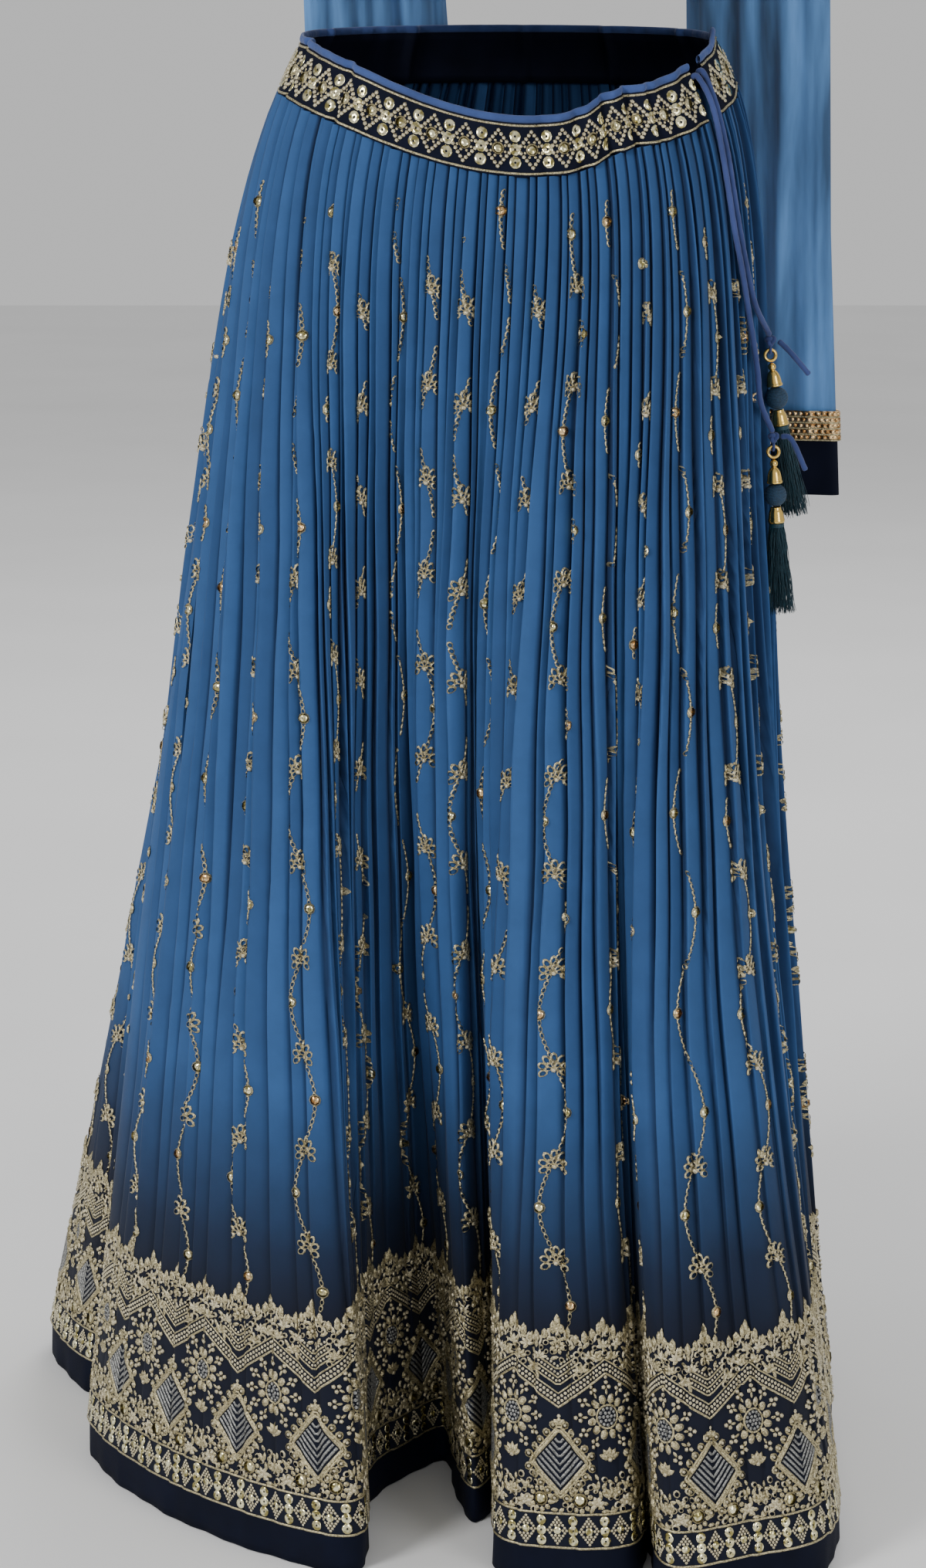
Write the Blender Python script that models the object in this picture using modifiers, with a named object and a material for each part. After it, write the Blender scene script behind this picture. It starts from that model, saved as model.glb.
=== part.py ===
"""A lehenga choli: a pleated, flared skirt with a tilted waistband, a drawstring with two
tassels and a bordered hem, and a cropped blouse with long loose sleeves.

Frame: metres, +Z up, the wearer faces -Y. The origin is the centre of the waistband's top,
where the wearer holds the skirt. Left and right are the viewer's, from the front.
The cloth is made as walls: a loft of sections, worked out from the sizes below.
"""

import math

import bpy
import numpy as np

# Waistband: an open strip on the hips, lower in front, its ends parted on the right front
WAIST_HALF_WIDTH = 0.1415
WAIST_HALF_DEPTH = 0.098
HIP_HALF_WIDTH = 0.158
HIP_HALF_DEPTH = 0.112
BAND_HEIGHT = 0.034
BAND_WALL = 0.002
FRONT_DIP = 0.050
DIP_TURN = math.radians(6)
DIP_SHARPNESS = 4.6
SLIT_START = math.radians(238.4)
SLIT_END = math.radians(245.4)
BAND_STEP = math.radians(6)
BINDING_HEIGHT = 0.0055
BINDING_DEPTH = 0.0036

# Where the drawstring gathers the band: angle round it, depth, half width and lift
BAND_FOLDS = (
    {"angle": 105, "depth": 0.0035, "width": 2.6, "lift": 0.001},
    {"angle": 131, "depth": 0.0030, "width": 2.6, "lift": 0.000},
    {"angle": 189, "depth": 0.0020, "width": 2.0, "lift": 0.000},
    {"angle": 199, "depth": 0.0035, "width": 2.4, "lift": 0.000},
    {"angle": 207, "depth": 0.0055, "width": 2.2, "lift": 0.005},
    {"angle": 214, "depth": 0.0045, "width": 2.0, "lift": 0.004},
    {"angle": 221, "depth": 0.0030, "width": 2.2, "lift": 0.001},
    {"angle": 268, "depth": 0.0010, "width": 4.0, "lift": 0.007},
    {"angle": 300, "depth": 0.0035, "width": 2.6, "lift": 0.000},
    {"angle": 330, "depth": 0.0040, "width": 2.6, "lift": 0.000},
    {"angle": 355, "depth": 0.0030, "width": 2.6, "lift": 0.000},
    {"angle": 28, "depth": 0.0040, "width": 2.6, "lift": 0.000},
    {"angle": 62, "depth": 0.0035, "width": 2.6, "lift": 0.000},
)
LIFT_WIDTH = math.radians(7)

# Skirt: panels of so many pleats, numbered from the back round the left, each with a plain
# band below its embroidered edge
PLEATS = 128
PANELS = (
    {"name": "left_front", "first": 34, "last": 48},
    {"name": "front_left", "first": 48, "last": 59},
    {"name": "front", "first": 59, "last": 71},
    {"name": "front_right", "first": 71, "last": 85},
    {"name": "right", "first": 85, "last": 101},
    {"name": "back_right", "first": 101, "last": 118},
    {"name": "back", "first": 118, "last": 138},
    {"name": "left_back", "first": 138, "last": 162},
)
SKIRT_WALL = 0.002
SKIRT_INSET = 0.0016
HEM_Z = -1.016
HEM_BAND_HEIGHT = 0.027
HEM_WALL = 0.0016
FOLD_GROWTH = 1.6
BASE_WAVES = 3
HIP_SPRING = 0.015
SIDE_SWAY = 0.010
SEAM_GAP = 0.0003
RIDGE_PLACE = 0.36
SKIRT_ROWS = (0.0, 0.08, 0.24, 0.44, 0.64, 0.83, 1.0)
# Height of a pleat, from its valley to its ridge, down the skirt
PLEAT_DOWN = (0.0, 0.10, 0.35, 0.65, 0.84, 0.92, 1.0)
PLEAT_HEIGHT = (0.0030, 0.0048, 0.0066, 0.0062, 0.0040, 0.0020, 0.0012)

# The hem's outline from above: the tips and valleys of its folds, from the back round the left
HEM_OUTLINE = (
    {"fold": "back tip", "x": -0.060, "y": 0.292},
    {"fold": "back valley", "x": -0.105, "y": 0.235},
    {"fold": "back left tip", "x": -0.172, "y": 0.272},
    {"fold": "back left valley", "x": -0.208, "y": 0.205},
    {"fold": "left back tip", "x": -0.290, "y": 0.222},
    {"fold": "left tip", "x": -0.350, "y": 0.150},
    {"fold": "left tip", "x": -0.322, "y": 0.060},
    {"fold": "left valley", "x": -0.272, "y": 0.006},
    {"fold": "left panel", "x": -0.304, "y": -0.060},
    {"fold": "left panel", "x": -0.258, "y": -0.152},
    {"fold": "left panel", "x": -0.180, "y": -0.232},
    {"fold": "left panel tip", "x": -0.103, "y": -0.268},
    {"fold": "deep valley", "x": -0.099, "y": -0.160},
    {"fold": "deep valley", "x": -0.070, "y": -0.106},
    {"fold": "deep valley", "x": -0.044, "y": -0.080},
    {"fold": "inner side", "x": -0.036, "y": -0.135},
    {"fold": "inner tip", "x": -0.023, "y": -0.190},
    {"fold": "inner valley", "x": 0.000, "y": -0.146},
    {"fold": "middle panel", "x": -0.008, "y": -0.264},
    {"fold": "middle panel", "x": 0.036, "y": -0.290},
    {"fold": "middle tip", "x": 0.084, "y": -0.284},
    {"fold": "middle valley", "x": 0.097, "y": -0.238},
    {"fold": "right panel tip", "x": 0.107, "y": -0.318},
    {"fold": "right panel", "x": 0.164, "y": -0.302},
    {"fold": "right corner", "x": 0.216, "y": -0.270},
    {"fold": "right tip", "x": 0.231, "y": -0.178},
    {"fold": "right valley", "x": 0.206, "y": -0.098},
    {"fold": "right side tip", "x": 0.242, "y": -0.026},
    {"fold": "right side valley", "x": 0.214, "y": 0.040},
    {"fold": "right back tip", "x": 0.244, "y": 0.112},
    {"fold": "right back valley", "x": 0.186, "y": 0.142},
    {"fold": "right back tip", "x": 0.178, "y": 0.226},
    {"fold": "back right valley", "x": 0.112, "y": 0.198},
    {"fold": "back right tip", "x": 0.068, "y": 0.284},
    {"fold": "back right valley", "x": 0.012, "y": 0.226},
)
OUTLINE_STEPS = 48
OUTLINE_SAMPLES = 1536

# Blouse: heights, then half width, front depth and back depth of the body at each height
BLOUSE_WALL = 0.002
BLOUSE_HEM_Z = 0.033
BLOUSE_HEM_TILT = 0.020
UNDERARM_Z = 0.245
SHOULDER_TIP_Z = 0.366
NECK_POINT_Z = 0.402
NECK_HALF_WIDTH = 0.062
SHOULDER_HALF_WIDTH = 0.163
CAP_START_Z = 0.262
BODY_SECTIONS = (
    {"z": 0.000, "half_width": 0.1270, "front": 0.088, "back": 0.084},
    {"z": 0.033, "half_width": 0.1280, "front": 0.088, "back": 0.084},
    {"z": 0.110, "half_width": 0.1320, "front": 0.093, "back": 0.090},
    {"z": 0.190, "half_width": 0.1420, "front": 0.105, "back": 0.099},
    {"z": 0.245, "half_width": 0.1480, "front": 0.104, "back": 0.101},
    {"z": 0.300, "half_width": 0.1760, "front": 0.096, "back": 0.096},
    {"z": 0.366, "half_width": 0.2130, "front": 0.086, "back": 0.090},
    {"z": 0.410, "half_width": 0.2250, "front": 0.080, "back": 0.085},
)
CUP = {"x": 0.078, "z": 0.190, "depth": 0.026, "half_width": 0.046, "half_height": 0.050}
FRONT_NECK_DROP = 0.120
BACK_NECK_DROP = 0.085
NECK_ANGLE = math.radians(17)
TIP_ANGLE = math.radians(50)
SIDE_ANGLE = math.radians(89.2)
BLOUSE_ANGLES = (0, 6, 12, 17, 28, 39, 50, 58, 66, 74, 82, 89.2)
BLOUSE_ROWS = 8

# Sleeves: each a tube of sheer cloth that hangs empty from its armhole
SLEEVE_WALL = 0.0012
SLEEVE_END_Z = -0.290
CUFF_END_Z = -0.331
TRIM_HEIGHT = 0.0215
ARMHOLE_CLEAR = 0.0019
SLEEVE_AROUND = 18
SLEEVE_ROWS = 9
HEAD_DROP = 0.11
SLEEVE_SECTIONS = {
    "right": (
        {"z": 0.300, "x": 0.192, "y": 0.008, "wide": 0.040, "deep": 0.038, "turn": 10},
        {"z": 0.170, "x": 0.186, "y": 0.040, "wide": 0.050, "deep": 0.022, "turn": 22},
        {"z": 0.040, "x": 0.177, "y": 0.078, "wide": 0.056, "deep": 0.014, "turn": 30},
        {"z": -0.140, "x": 0.182, "y": 0.094, "wide": 0.057, "deep": 0.013, "turn": 30},
        {"z": -0.331, "x": 0.192, "y": 0.111, "wide": 0.058, "deep": 0.013, "turn": 30},
    ),
    "left": (
        {"z": 0.300, "x": -0.192, "y": 0.008, "wide": 0.040, "deep": 0.038, "turn": -10},
        {"z": 0.200, "x": -0.186, "y": 0.040, "wide": 0.046, "deep": 0.026, "turn": -40},
        {"z": 0.120, "x": -0.148, "y": 0.095, "wide": 0.050, "deep": 0.017, "turn": -42},
        {"z": 0.040, "x": -0.095, "y": 0.128, "wide": 0.054, "deep": 0.014, "turn": -22},
        {"z": -0.140, "x": -0.086, "y": 0.1452, "wide": 0.056, "deep": 0.013, "turn": -14},
        {"z": -0.331, "x": -0.088, "y": 0.1860, "wide": 0.058, "deep": 0.013, "turn": -14},
    ),
}
SLEEVE_FOLDS = 5
SLEEVE_FOLD_DEPTH = 0.0030

# Drawstring: two cords that leave the band at its slit, and what hangs on each
CORD_DIAMETER = 0.004
CORD_STEP = 0.009
CORD_LIFT = 0.0004
# Each cord's way out of the band's slit and over the band: angle, share down, distance out
CORD_STARTS = {
    "a": (
        {"angle": 244.1, "down": 0.16, "out": -0.0024},
        {"angle": 243.8, "down": 0.13, "out": 0.0030},
        {"angle": 242.4, "down": 0.50, "out": 0.0056},
        {"angle": 241.7, "down": 0.95, "out": 0.0046},
    ),
    "b": (
        {"angle": 239.7, "down": 0.16, "out": -0.0024},
        {"angle": 239.7, "down": 0.13, "out": 0.0030},
        {"angle": 239.7, "down": 0.50, "out": 0.0056},
        {"angle": 239.3, "down": 0.95, "out": 0.0046},
    ),
}
# Its way over the pleats: share round the skirt and share down it
CORD_ROUTES = {
    "a": (
        {"round": 0.6815, "down": 0.024}, {"round": 0.6812, "down": 0.051},
        {"round": 0.6835, "down": 0.079}, {"round": 0.6885, "down": 0.108},
        {"round": 0.6975, "down": 0.136},
    ),
    "b": (
        {"round": 0.6760, "down": 0.022}, {"round": 0.6757, "down": 0.049},
        {"round": 0.6775, "down": 0.077}, {"round": 0.6822, "down": 0.106},
        {"round": 0.6870, "down": 0.135}, {"round": 0.6920, "down": 0.160},
        {"round": 0.6965, "down": 0.183}, {"round": 0.7000, "down": 0.207},
    ),
}
# Where the cord meets its knot and where its free tail leaves it, from the knot's middle
KNOT_ENTRY = (-0.0008, -0.0012, 0.0040)
TAIL_ROUTES = {
    "a": ((0.0056, -0.0014, 0.0000), (0.0140, -0.0040, -0.0080), (0.0268, -0.0060, -0.0228)),
    "b": ((0.0050, -0.0013, 0.0010), (0.0120, -0.0040, -0.0010), (0.0220, -0.0060, -0.0220)),
}
TASSELS = {
    "a": {"x": 0.1813, "y": -0.045, "z": -0.2123, "lean": 9.5},
    "b": {"x": 0.1831, "y": -0.066, "z": -0.2764, "lean": 3.5},
}
KNOT_RADIUS = 0.0040
RING_RADIUS = 0.0038
RING_WIRE = 0.0012
BEAD_RADIUS = 0.0028
BELL_HEIGHT = 0.0112
BELL_RADIUS = 0.0056
BALL_RADIUS = 0.0080
CAP_HEIGHT = 0.0110
CAP_TOP_RADIUS = 0.0038
CAP_RADIUS = 0.0059
HEAD_RADIUS = 0.0052
HEAD_HEIGHT = 0.0030
STRAND_RINGS = (1, 6, 11, 12)
STRAND_LENGTH = 0.066
STRAND_WIDTH = 0.00055
STRAND_SPREAD = 0.0105


def clear_scene():
    for obj in list(bpy.data.objects):
        bpy.data.objects.remove(obj)


def new_collection(name):
    collection = bpy.data.collections.new(name)
    bpy.context.scene.collection.children.link(collection)
    return collection


def material(name, color, roughness, metallic=0.0):
    mat = bpy.data.materials.new(name)
    mat.use_nodes = True
    shader = mat.node_tree.nodes["Principled BSDF"]
    shader.inputs["Base Color"].default_value = (*color, 1.0)
    shader.inputs["Roughness"].default_value = roughness
    shader.inputs["Metallic"].default_value = metallic
    return mat


def add_mesh(name, verts, faces, mat, collection, smooth_angle=40):
    mesh = bpy.data.meshes.new(name)
    mesh.from_pydata(verts, [], faces)
    mesh.materials.append(mat)
    mesh.shade_smooth()
    mesh.set_sharp_from_angle(angle=math.radians(smooth_angle))
    obj = bpy.data.objects.new(name, mesh)
    collection.objects.link(obj)
    return obj


def add_wall(name, outer, inner, mat, collection, closed=False):
    """A cloth wall between two grids of points, rows from the top down and columns
    anticlockwise seen from above. A closed wall's last column meets its first."""
    rows, cols = outer.shape[:2]
    verts = [tuple(p) for grid in (outer, inner) for row in grid for p in row]
    inside = rows * cols

    def at(row, col):
        return row * cols + col % cols

    faces = []
    spans = cols if closed else cols - 1
    for r in range(rows - 1):
        for c in range(spans):
            a, b, d, e = at(r, c), at(r, c + 1), at(r + 1, c), at(r + 1, c + 1)
            faces += [(a, d, e), (a, e, b)]
            faces += [(inside + a, inside + e, inside + d), (inside + a, inside + b, inside + e)]
    for c in range(spans):
        a, b = at(0, c), at(0, c + 1)
        faces += [(a, b, inside + b), (a, inside + b, inside + a)]
        a, b = at(rows - 1, c), at(rows - 1, c + 1)
        faces += [(a, inside + b, b), (a, inside + a, inside + b)]
    if not closed:
        for r in range(rows - 1):
            a, d = at(r, 0), at(r + 1, 0)
            faces += [(a, inside + a, inside + d), (a, inside + d, d)]
            a, d = at(r, cols - 1), at(r + 1, cols - 1)
            faces += [(a, inside + d, inside + a), (a, d, inside + d)]
    return add_mesh(name, verts, faces, mat, collection)


def smooth_loop(points, steps):
    """A closed Catmull-Rom curve through the points."""
    ring = np.asarray(points, float)
    before, after, later = np.roll(ring, 1, 0), np.roll(ring, -1, 0), np.roll(ring, -2, 0)
    t = (np.arange(steps) / steps)[None, :, None]
    p0, p1, p2, p3 = (p[:, None, :] for p in (before, ring, after, later))
    curve = 0.5 * (
        2 * p1
        + (p2 - p0) * t
        + (2 * p0 - 5 * p1 + 4 * p2 - p3) * t**2
        + (3 * p1 - p0 - 3 * p2 + p3) * t**3
    )
    return curve.reshape(-1, ring.shape[1])


def even_loop(points, samples):
    """The same closed curve with its points at equal distances along it, and its length."""
    closed = np.vstack([points, points[:1]])
    along = np.concatenate([[0], np.cumsum(np.linalg.norm(np.diff(closed, axis=0), axis=1))])
    wanted = np.arange(samples) / samples * along[-1]
    even = np.stack([np.interp(wanted, along, closed[:, k]) for k in range(closed.shape[1])], 1)
    return even, along[-1]


def low_waves(ring, waves):
    """The ring with only its slowest waves left, as the skirt would hang without folds."""
    spectrum = np.fft.rfft(ring, axis=0)
    spectrum[waves + 1 :] = 0
    return np.fft.irfft(spectrum, n=len(ring), axis=0)


def ellipse_xy(angle, half_width, half_depth):
    return np.stack([-half_width * np.sin(angle), half_depth * np.cos(angle)], -1)


def ring_value(table, u):
    """The value of a table that goes once round, at the fractions u of the way round."""
    places = np.arange(len(table) + 1) / len(table)
    closed = np.vstack([table, table[:1]])
    return np.stack([np.interp(u % 1.0, places, closed[:, k]) for k in range(closed.shape[1])], -1)


def band_lift(angle):
    """Height of the band's top edge: low in front, raised a little where it is gathered."""
    facing = (1 + np.cos(angle - math.pi - DIP_TURN)) / 2
    height = -FRONT_DIP * facing**DIP_SHARPNESS
    for fold in BAND_FOLDS:
        off = np.angle(np.exp(1j * (angle - math.radians(fold["angle"]))))
        height = height + fold["lift"] * np.exp(-((off / LIFT_WIDTH) ** 2))
    return height


def band_tuck(angle):
    """How far the gathers draw the band inwards."""
    depth = np.zeros_like(angle)
    for fold in BAND_FOLDS:
        off = np.angle(np.exp(1j * (angle - math.radians(fold["angle"]))))
        share = np.clip(1 - np.abs(off) / math.radians(fold["width"]), 0, 1)
        depth = depth + fold["depth"] * share**2 * (3 - 2 * share)
    return depth


def band_grid(angles, downs, shift):
    """Points on the band, at each angle and each share of its height, moved outwards."""
    grid = []
    for down in downs:
        half_width = WAIST_HALF_WIDTH + (HIP_HALF_WIDTH - WAIST_HALF_WIDTH) * down
        half_depth = WAIST_HALF_DEPTH + (HIP_HALF_DEPTH - WAIST_HALF_DEPTH) * down
        tucked = shift - band_tuck(angles)
        xy = ellipse_xy(angles, 1.0, 1.0) * np.stack([half_width + tucked, half_depth + tucked], -1)
        z = band_lift(angles) - BAND_HEIGHT * down
        grid.append(np.column_stack([xy, z]))
    return np.array(grid)


def band_angles():
    """Evenly spaced angles round the band, with more of them at each gather."""
    span = SLIT_START + 2 * math.pi - SLIT_END
    steps = round(span / BAND_STEP)
    angles = {round(SLIT_END + span * k / steps, 4) for k in range(steps + 1)}
    for fold in BAND_FOLDS:
        for share in (-1.0, -0.45, 0.0, 0.45, 1.0):
            near = math.radians(fold["angle"] + share * fold["width"])
            near = SLIT_END + (near - SLIT_END) % (2 * math.pi)
            if SLIT_END < near < SLIT_END + span:
                angles.add(round(near, 4))
    kept = []
    for angle in sorted(angles):
        if not kept or angle - kept[-1] > math.radians(0.7):
            kept.append(angle)
    return np.array(kept)


class Skirt:
    """The skirt's surface: u goes once round from the back, by way of the left, and v
    goes down from the band to the end of the embroidered cloth."""

    def __init__(self):
        outline = smooth_loop([(p["x"], p["y"]) for p in HEM_OUTLINE], OUTLINE_STEPS)
        self.hem, self.hem_length = even_loop(outline, OUTLINE_SAMPLES)
        self.base = low_waves(self.hem, BASE_WAVES)
        turn = np.linspace(0, 2 * math.pi, OUTLINE_SAMPLES, endpoint=False)
        hips = ellipse_xy(turn, HIP_HALF_WIDTH, HIP_HALF_DEPTH)
        self.hips, self.hip_length = even_loop(hips, OUTLINE_SAMPLES)

    def smooth_xy(self, u, v):
        hips, base, hem = (ring_value(t, u) for t in (self.hips, self.base, self.hem))
        v = np.clip(v, 0, 1)[..., None]
        ways = hips / np.linalg.norm(hips, axis=-1, keepdims=True)
        spring = ways * HIP_SPRING * (1 - np.exp(-v / 0.06)) * (1 - v) ** 2.2
        sway = np.array([-SIDE_SWAY, 0.0]) * np.sin(math.pi * v)
        return hips + (base - hips) * v + (hem - base) * v**FOLD_GROWTH + spring + sway

    def outward(self, u, v):
        reach = 0.6 / PLEATS
        along = self.smooth_xy(u + reach, v) - self.smooth_xy(u - reach, v)
        along = along / np.linalg.norm(along, axis=-1, keepdims=True)
        return np.stack([along[..., 1], -along[..., 0]], -1)

    def height(self, u, v):
        hips = ring_value(self.hips, u)
        angle = np.arctan2(-hips[..., 0] / HIP_HALF_WIDTH, hips[..., 1] / HIP_HALF_DEPTH)
        top = band_lift(angle) - BAND_HEIGHT - SEAM_GAP
        return top + (HEM_Z + HEM_BAND_HEIGHT - top) * v

    def points(self, u, v, shift):
        """Points at the fractions u and v, moved outwards by shift."""
        xy = self.smooth_xy(u, v) + self.outward(u, v) * np.asarray(shift)[..., None]
        return np.concatenate([xy, self.height(u, v)[..., None]], -1)


def pleat_edges():
    """Where each pleat starts, a little uneven, as a share of the way round."""
    number = np.arange(PLEATS + 1)
    uneven = 0.20 * np.sin(2.399 * number) + 0.12 * np.sin(0.731 * number + 1.0)
    uneven[-1] = uneven[0]
    return (number + uneven) / PLEATS


def pleat_columns(first, last):
    """The columns of a panel: each pleat's valley, then its ridge, with each one's rise."""
    edges = pleat_edges()
    places, rises = [], []
    for number in range(first, last):
        start, end = edges[number % PLEATS], edges[number % PLEATS + 1]
        wrap = number // PLEATS
        places += [start + wrap, start + (end - start) * RIDGE_PLACE + wrap]
        rises += [0.0, 1.0 + 0.30 * math.sin(1.7 * number + 0.5)]
    places.append(edges[last % PLEATS] + last // PLEATS)
    rises.append(0.0)
    return np.array(places), np.array(rises)


def make_skirt(skirt, mats, collection):
    seam = 0.5 * SEAM_GAP / skirt.hip_length
    for panel in PANELS:
        u, rise = pleat_columns(panel["first"], panel["last"])
        u[0], u[-1] = u[0] + seam, u[-1] - seam
        v = np.array(SKIRT_ROWS)[:, None] * np.ones_like(u)
        around = np.ones_like(v) * u
        height = np.interp(v, PLEAT_DOWN, PLEAT_HEIGHT)
        shift = height * (rise - 0.5) - SKIRT_INSET * np.clip(1 - 8 * v, 0, 1)
        outer = skirt.points(around, v, shift + SKIRT_WALL / 2)
        inner = skirt.points(around, v, shift - SKIRT_WALL / 2)
        add_wall(f"skirt_{panel['name']}", outer, inner, mats["skirt"], collection)
        make_hem_band(skirt, panel["name"], u[::2], mats, collection)


def make_hem_band(skirt, name, u, mats, collection):
    """The plain band sewn on below the gold edge: it hangs straight down."""
    v = np.ones_like(u)
    outer = skirt.points(u, v, np.full_like(u, HEM_WALL / 2))
    inner = skirt.points(u, v, np.full_like(u, -HEM_WALL / 2))
    walls = []
    for ring in (outer, inner):
        top, bottom = ring.copy(), ring.copy()
        top[:, 2] = HEM_Z + HEM_BAND_HEIGHT - SEAM_GAP
        bottom[:, 2] = HEM_Z
        walls.append(np.array([top, bottom]))
    add_wall(f"hem_band_{name}", walls[0], walls[1], mats["navy"], collection)


def make_band(mats, collection):
    angles = band_angles()
    downs = (0.0, 1.0)
    outer = band_grid(angles, downs, BAND_WALL / 2)
    inner = band_grid(angles, downs, -BAND_WALL / 2)
    add_wall("waistband", outer, inner, mats["navy"], collection)
    outer = band_grid(angles, (0.0, 0.0), BINDING_DEPTH / 2)
    inner = band_grid(angles, (0.0, 0.0), -BINDING_DEPTH / 2)
    for ring in (outer, inner):
        ring[0, :, 2] += SEAM_GAP + BINDING_HEIGHT
        ring[1, :, 2] += SEAM_GAP
    add_wall("waistband_binding", outer, inner, mats["cord"], collection)


def body_value(z, key):
    return np.interp(z, [s["z"] for s in BODY_SECTIONS], [s[key] for s in BODY_SECTIONS])


def shoulder_height(x):
    share = (np.abs(x) - NECK_HALF_WIDTH) / (SHOULDER_HALF_WIDTH - NECK_HALF_WIDTH)
    return NECK_POINT_Z - (NECK_POINT_Z - SHOULDER_TIP_Z) * np.clip(share, 0, 1)


def blouse_point(angle, z, side, shift):
    """A point of the blouse's front or back panel, at an angle from the panel's middle,
    moved outwards. The panel turns over the shoulder, where front and back meet."""
    half_width = body_value(z, "half_width")
    x = half_width * np.sin(angle)
    over = np.clip((z - CAP_START_Z) / (shoulder_height(x) - CAP_START_Z), 0, 1)
    depth = body_value(z, side) * np.sqrt(np.clip(1 - over**2.4, 0, 1))
    y = depth * np.cos(angle)
    if side == "front":
        for sign in (-1, 1):
            across = (x - sign * CUP["x"]) / CUP["half_width"]
            up = (z - CUP["z"]) / CUP["half_height"]
            y = y + CUP["depth"] * np.exp(-(across**2) - up**2)
    flat = np.sqrt(np.clip(1 - over**4, 0, 1))
    x = x + shift * np.sin(angle) * flat
    y = y + shift * np.cos(angle) * flat
    z = z + shift * (1 - flat)
    y = y + SEAM_GAP
    return np.stack([x, -y if side == "front" else y, z], -1)


def blouse_top(angle, side):
    """Height of a panel's upper edge: neckline, shoulder seam, then armhole."""
    turn = np.abs(angle)
    drop = FRONT_NECK_DROP if side == "front" else BACK_NECK_DROP
    neck = NECK_POINT_Z - drop * np.sqrt(np.clip(1 - (turn / NECK_ANGLE) ** 2, 0, 1))
    along = np.clip((turn - NECK_ANGLE) / (TIP_ANGLE - NECK_ANGLE), 0, 1)
    seam = NECK_POINT_Z - (NECK_POINT_Z - SHOULDER_TIP_Z) * along
    share = np.clip((turn - TIP_ANGLE) / (SIDE_ANGLE - TIP_ANGLE), 0, 1)
    armhole = SHOULDER_TIP_Z - (SHOULDER_TIP_Z - UNDERARM_Z) * share**0.8
    return np.where(turn < NECK_ANGLE, neck, np.where(turn <= TIP_ANGLE, seam, armhole))


def make_blouse_panel(side, mats, collection):
    half = np.radians(BLOUSE_ANGLES)
    angles = np.concatenate([-half[:0:-1], half])
    if side == "back":
        angles = -angles
    top = blouse_top(angles, side)
    hem = BLOUSE_HEM_Z - BLOUSE_HEM_TILT * np.sin(angles) * body_value(BLOUSE_HEM_Z, "half_width")
    grids = []
    for shift in (BLOUSE_WALL / 2, -BLOUSE_WALL / 2):
        rows = []
        for share in np.linspace(0, 1, BLOUSE_ROWS + 1):
            z = top + (hem - top) * share
            rows.append(blouse_point(angles, z, side, shift))
        grids.append(np.array(rows))
    add_wall(f"choli_{side}", grids[0], grids[1], mats["navy"], collection)


def armhole_ring(turns):
    """The right armhole's edge: turns go from the shoulder tip down the front to the
    underarm, and up the back."""
    ring = []
    for turn in turns:
        share = turn / math.pi if turn <= math.pi else 2 - turn / math.pi
        side = "front" if turn <= math.pi else "back"
        angle = TIP_ANGLE + (SIDE_ANGLE - TIP_ANGLE) * share
        z = float(blouse_top(np.array(angle), side))
        ring.append(blouse_point(np.array(angle), np.array(z), side, ARMHOLE_CLEAR))
    ring = np.array(ring)
    ring[:, 0] += SEAM_GAP
    return ring


def sleeve_value(side, z, key):
    sections = SLEEVE_SECTIONS[side][::-1]
    return np.interp(z, [s["z"] for s in sections], [s[key] for s in sections])


def sleeve_section(side, turns, z, shift):
    """Points on the hanging sleeve at the heights z: turn 0 is its outer edge, pi its
    inner edge, and its folds are deepest between the two."""
    mirror = 1 if side == "right" else -1
    wide = sleeve_value(side, z, "wide") + shift
    ripple = SLEEVE_FOLD_DEPTH * np.cos(SLEEVE_FOLDS * turns + 0.6) * np.abs(np.sin(turns))
    settled = np.clip((0.20 - z) / 0.12, 0, 1)
    deep = sleeve_value(side, z, "deep") + shift + ripple * settled
    across, ahead = wide * np.cos(turns) * mirror, -deep * np.sin(turns)
    lean = np.radians(sleeve_value(side, z, "turn"))
    x = sleeve_value(side, z, "x") + across * np.cos(lean) + ahead * np.sin(lean)
    y = sleeve_value(side, z, "y") - across * np.sin(lean) + ahead * np.cos(lean)
    return np.stack([x, y, z], -1)


def sleeve_grid(side, turns, downs, shift):
    """Points from the armhole, down 0, to the sleeve's end, down 1, moved outwards."""
    mirror = np.array([1 if side == "right" else -1, 1, 1])
    start = armhole_ring(turns) * mirror
    middle = armhole_ring(np.arange(SLEEVE_AROUND) / SLEEVE_AROUND * 2 * math.pi).mean(0) * mirror
    away = start - middle
    away[:, 0] = 0
    start = start + away / np.linalg.norm(away, axis=1, keepdims=True) * shift
    rows = []
    for down in downs:
        z = start[:, 2] + (SLEEVE_END_Z - start[:, 2]) * down
        hung = sleeve_section(side, turns, z, shift)
        share = np.clip((start[:, 2] - z) / HEAD_DROP, 0, 1)[:, None]
        rows.append(np.column_stack([(start * (1 - share) + hung * share)[:, :2], z]))
    return np.array(rows)


def sleeve_turns(side, around):
    """Evenly spaced turns, anticlockwise seen from above on either side."""
    turns = np.arange(around) / around * 2 * math.pi
    return -turns % (2 * math.pi) if side == "right" else turns


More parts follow.
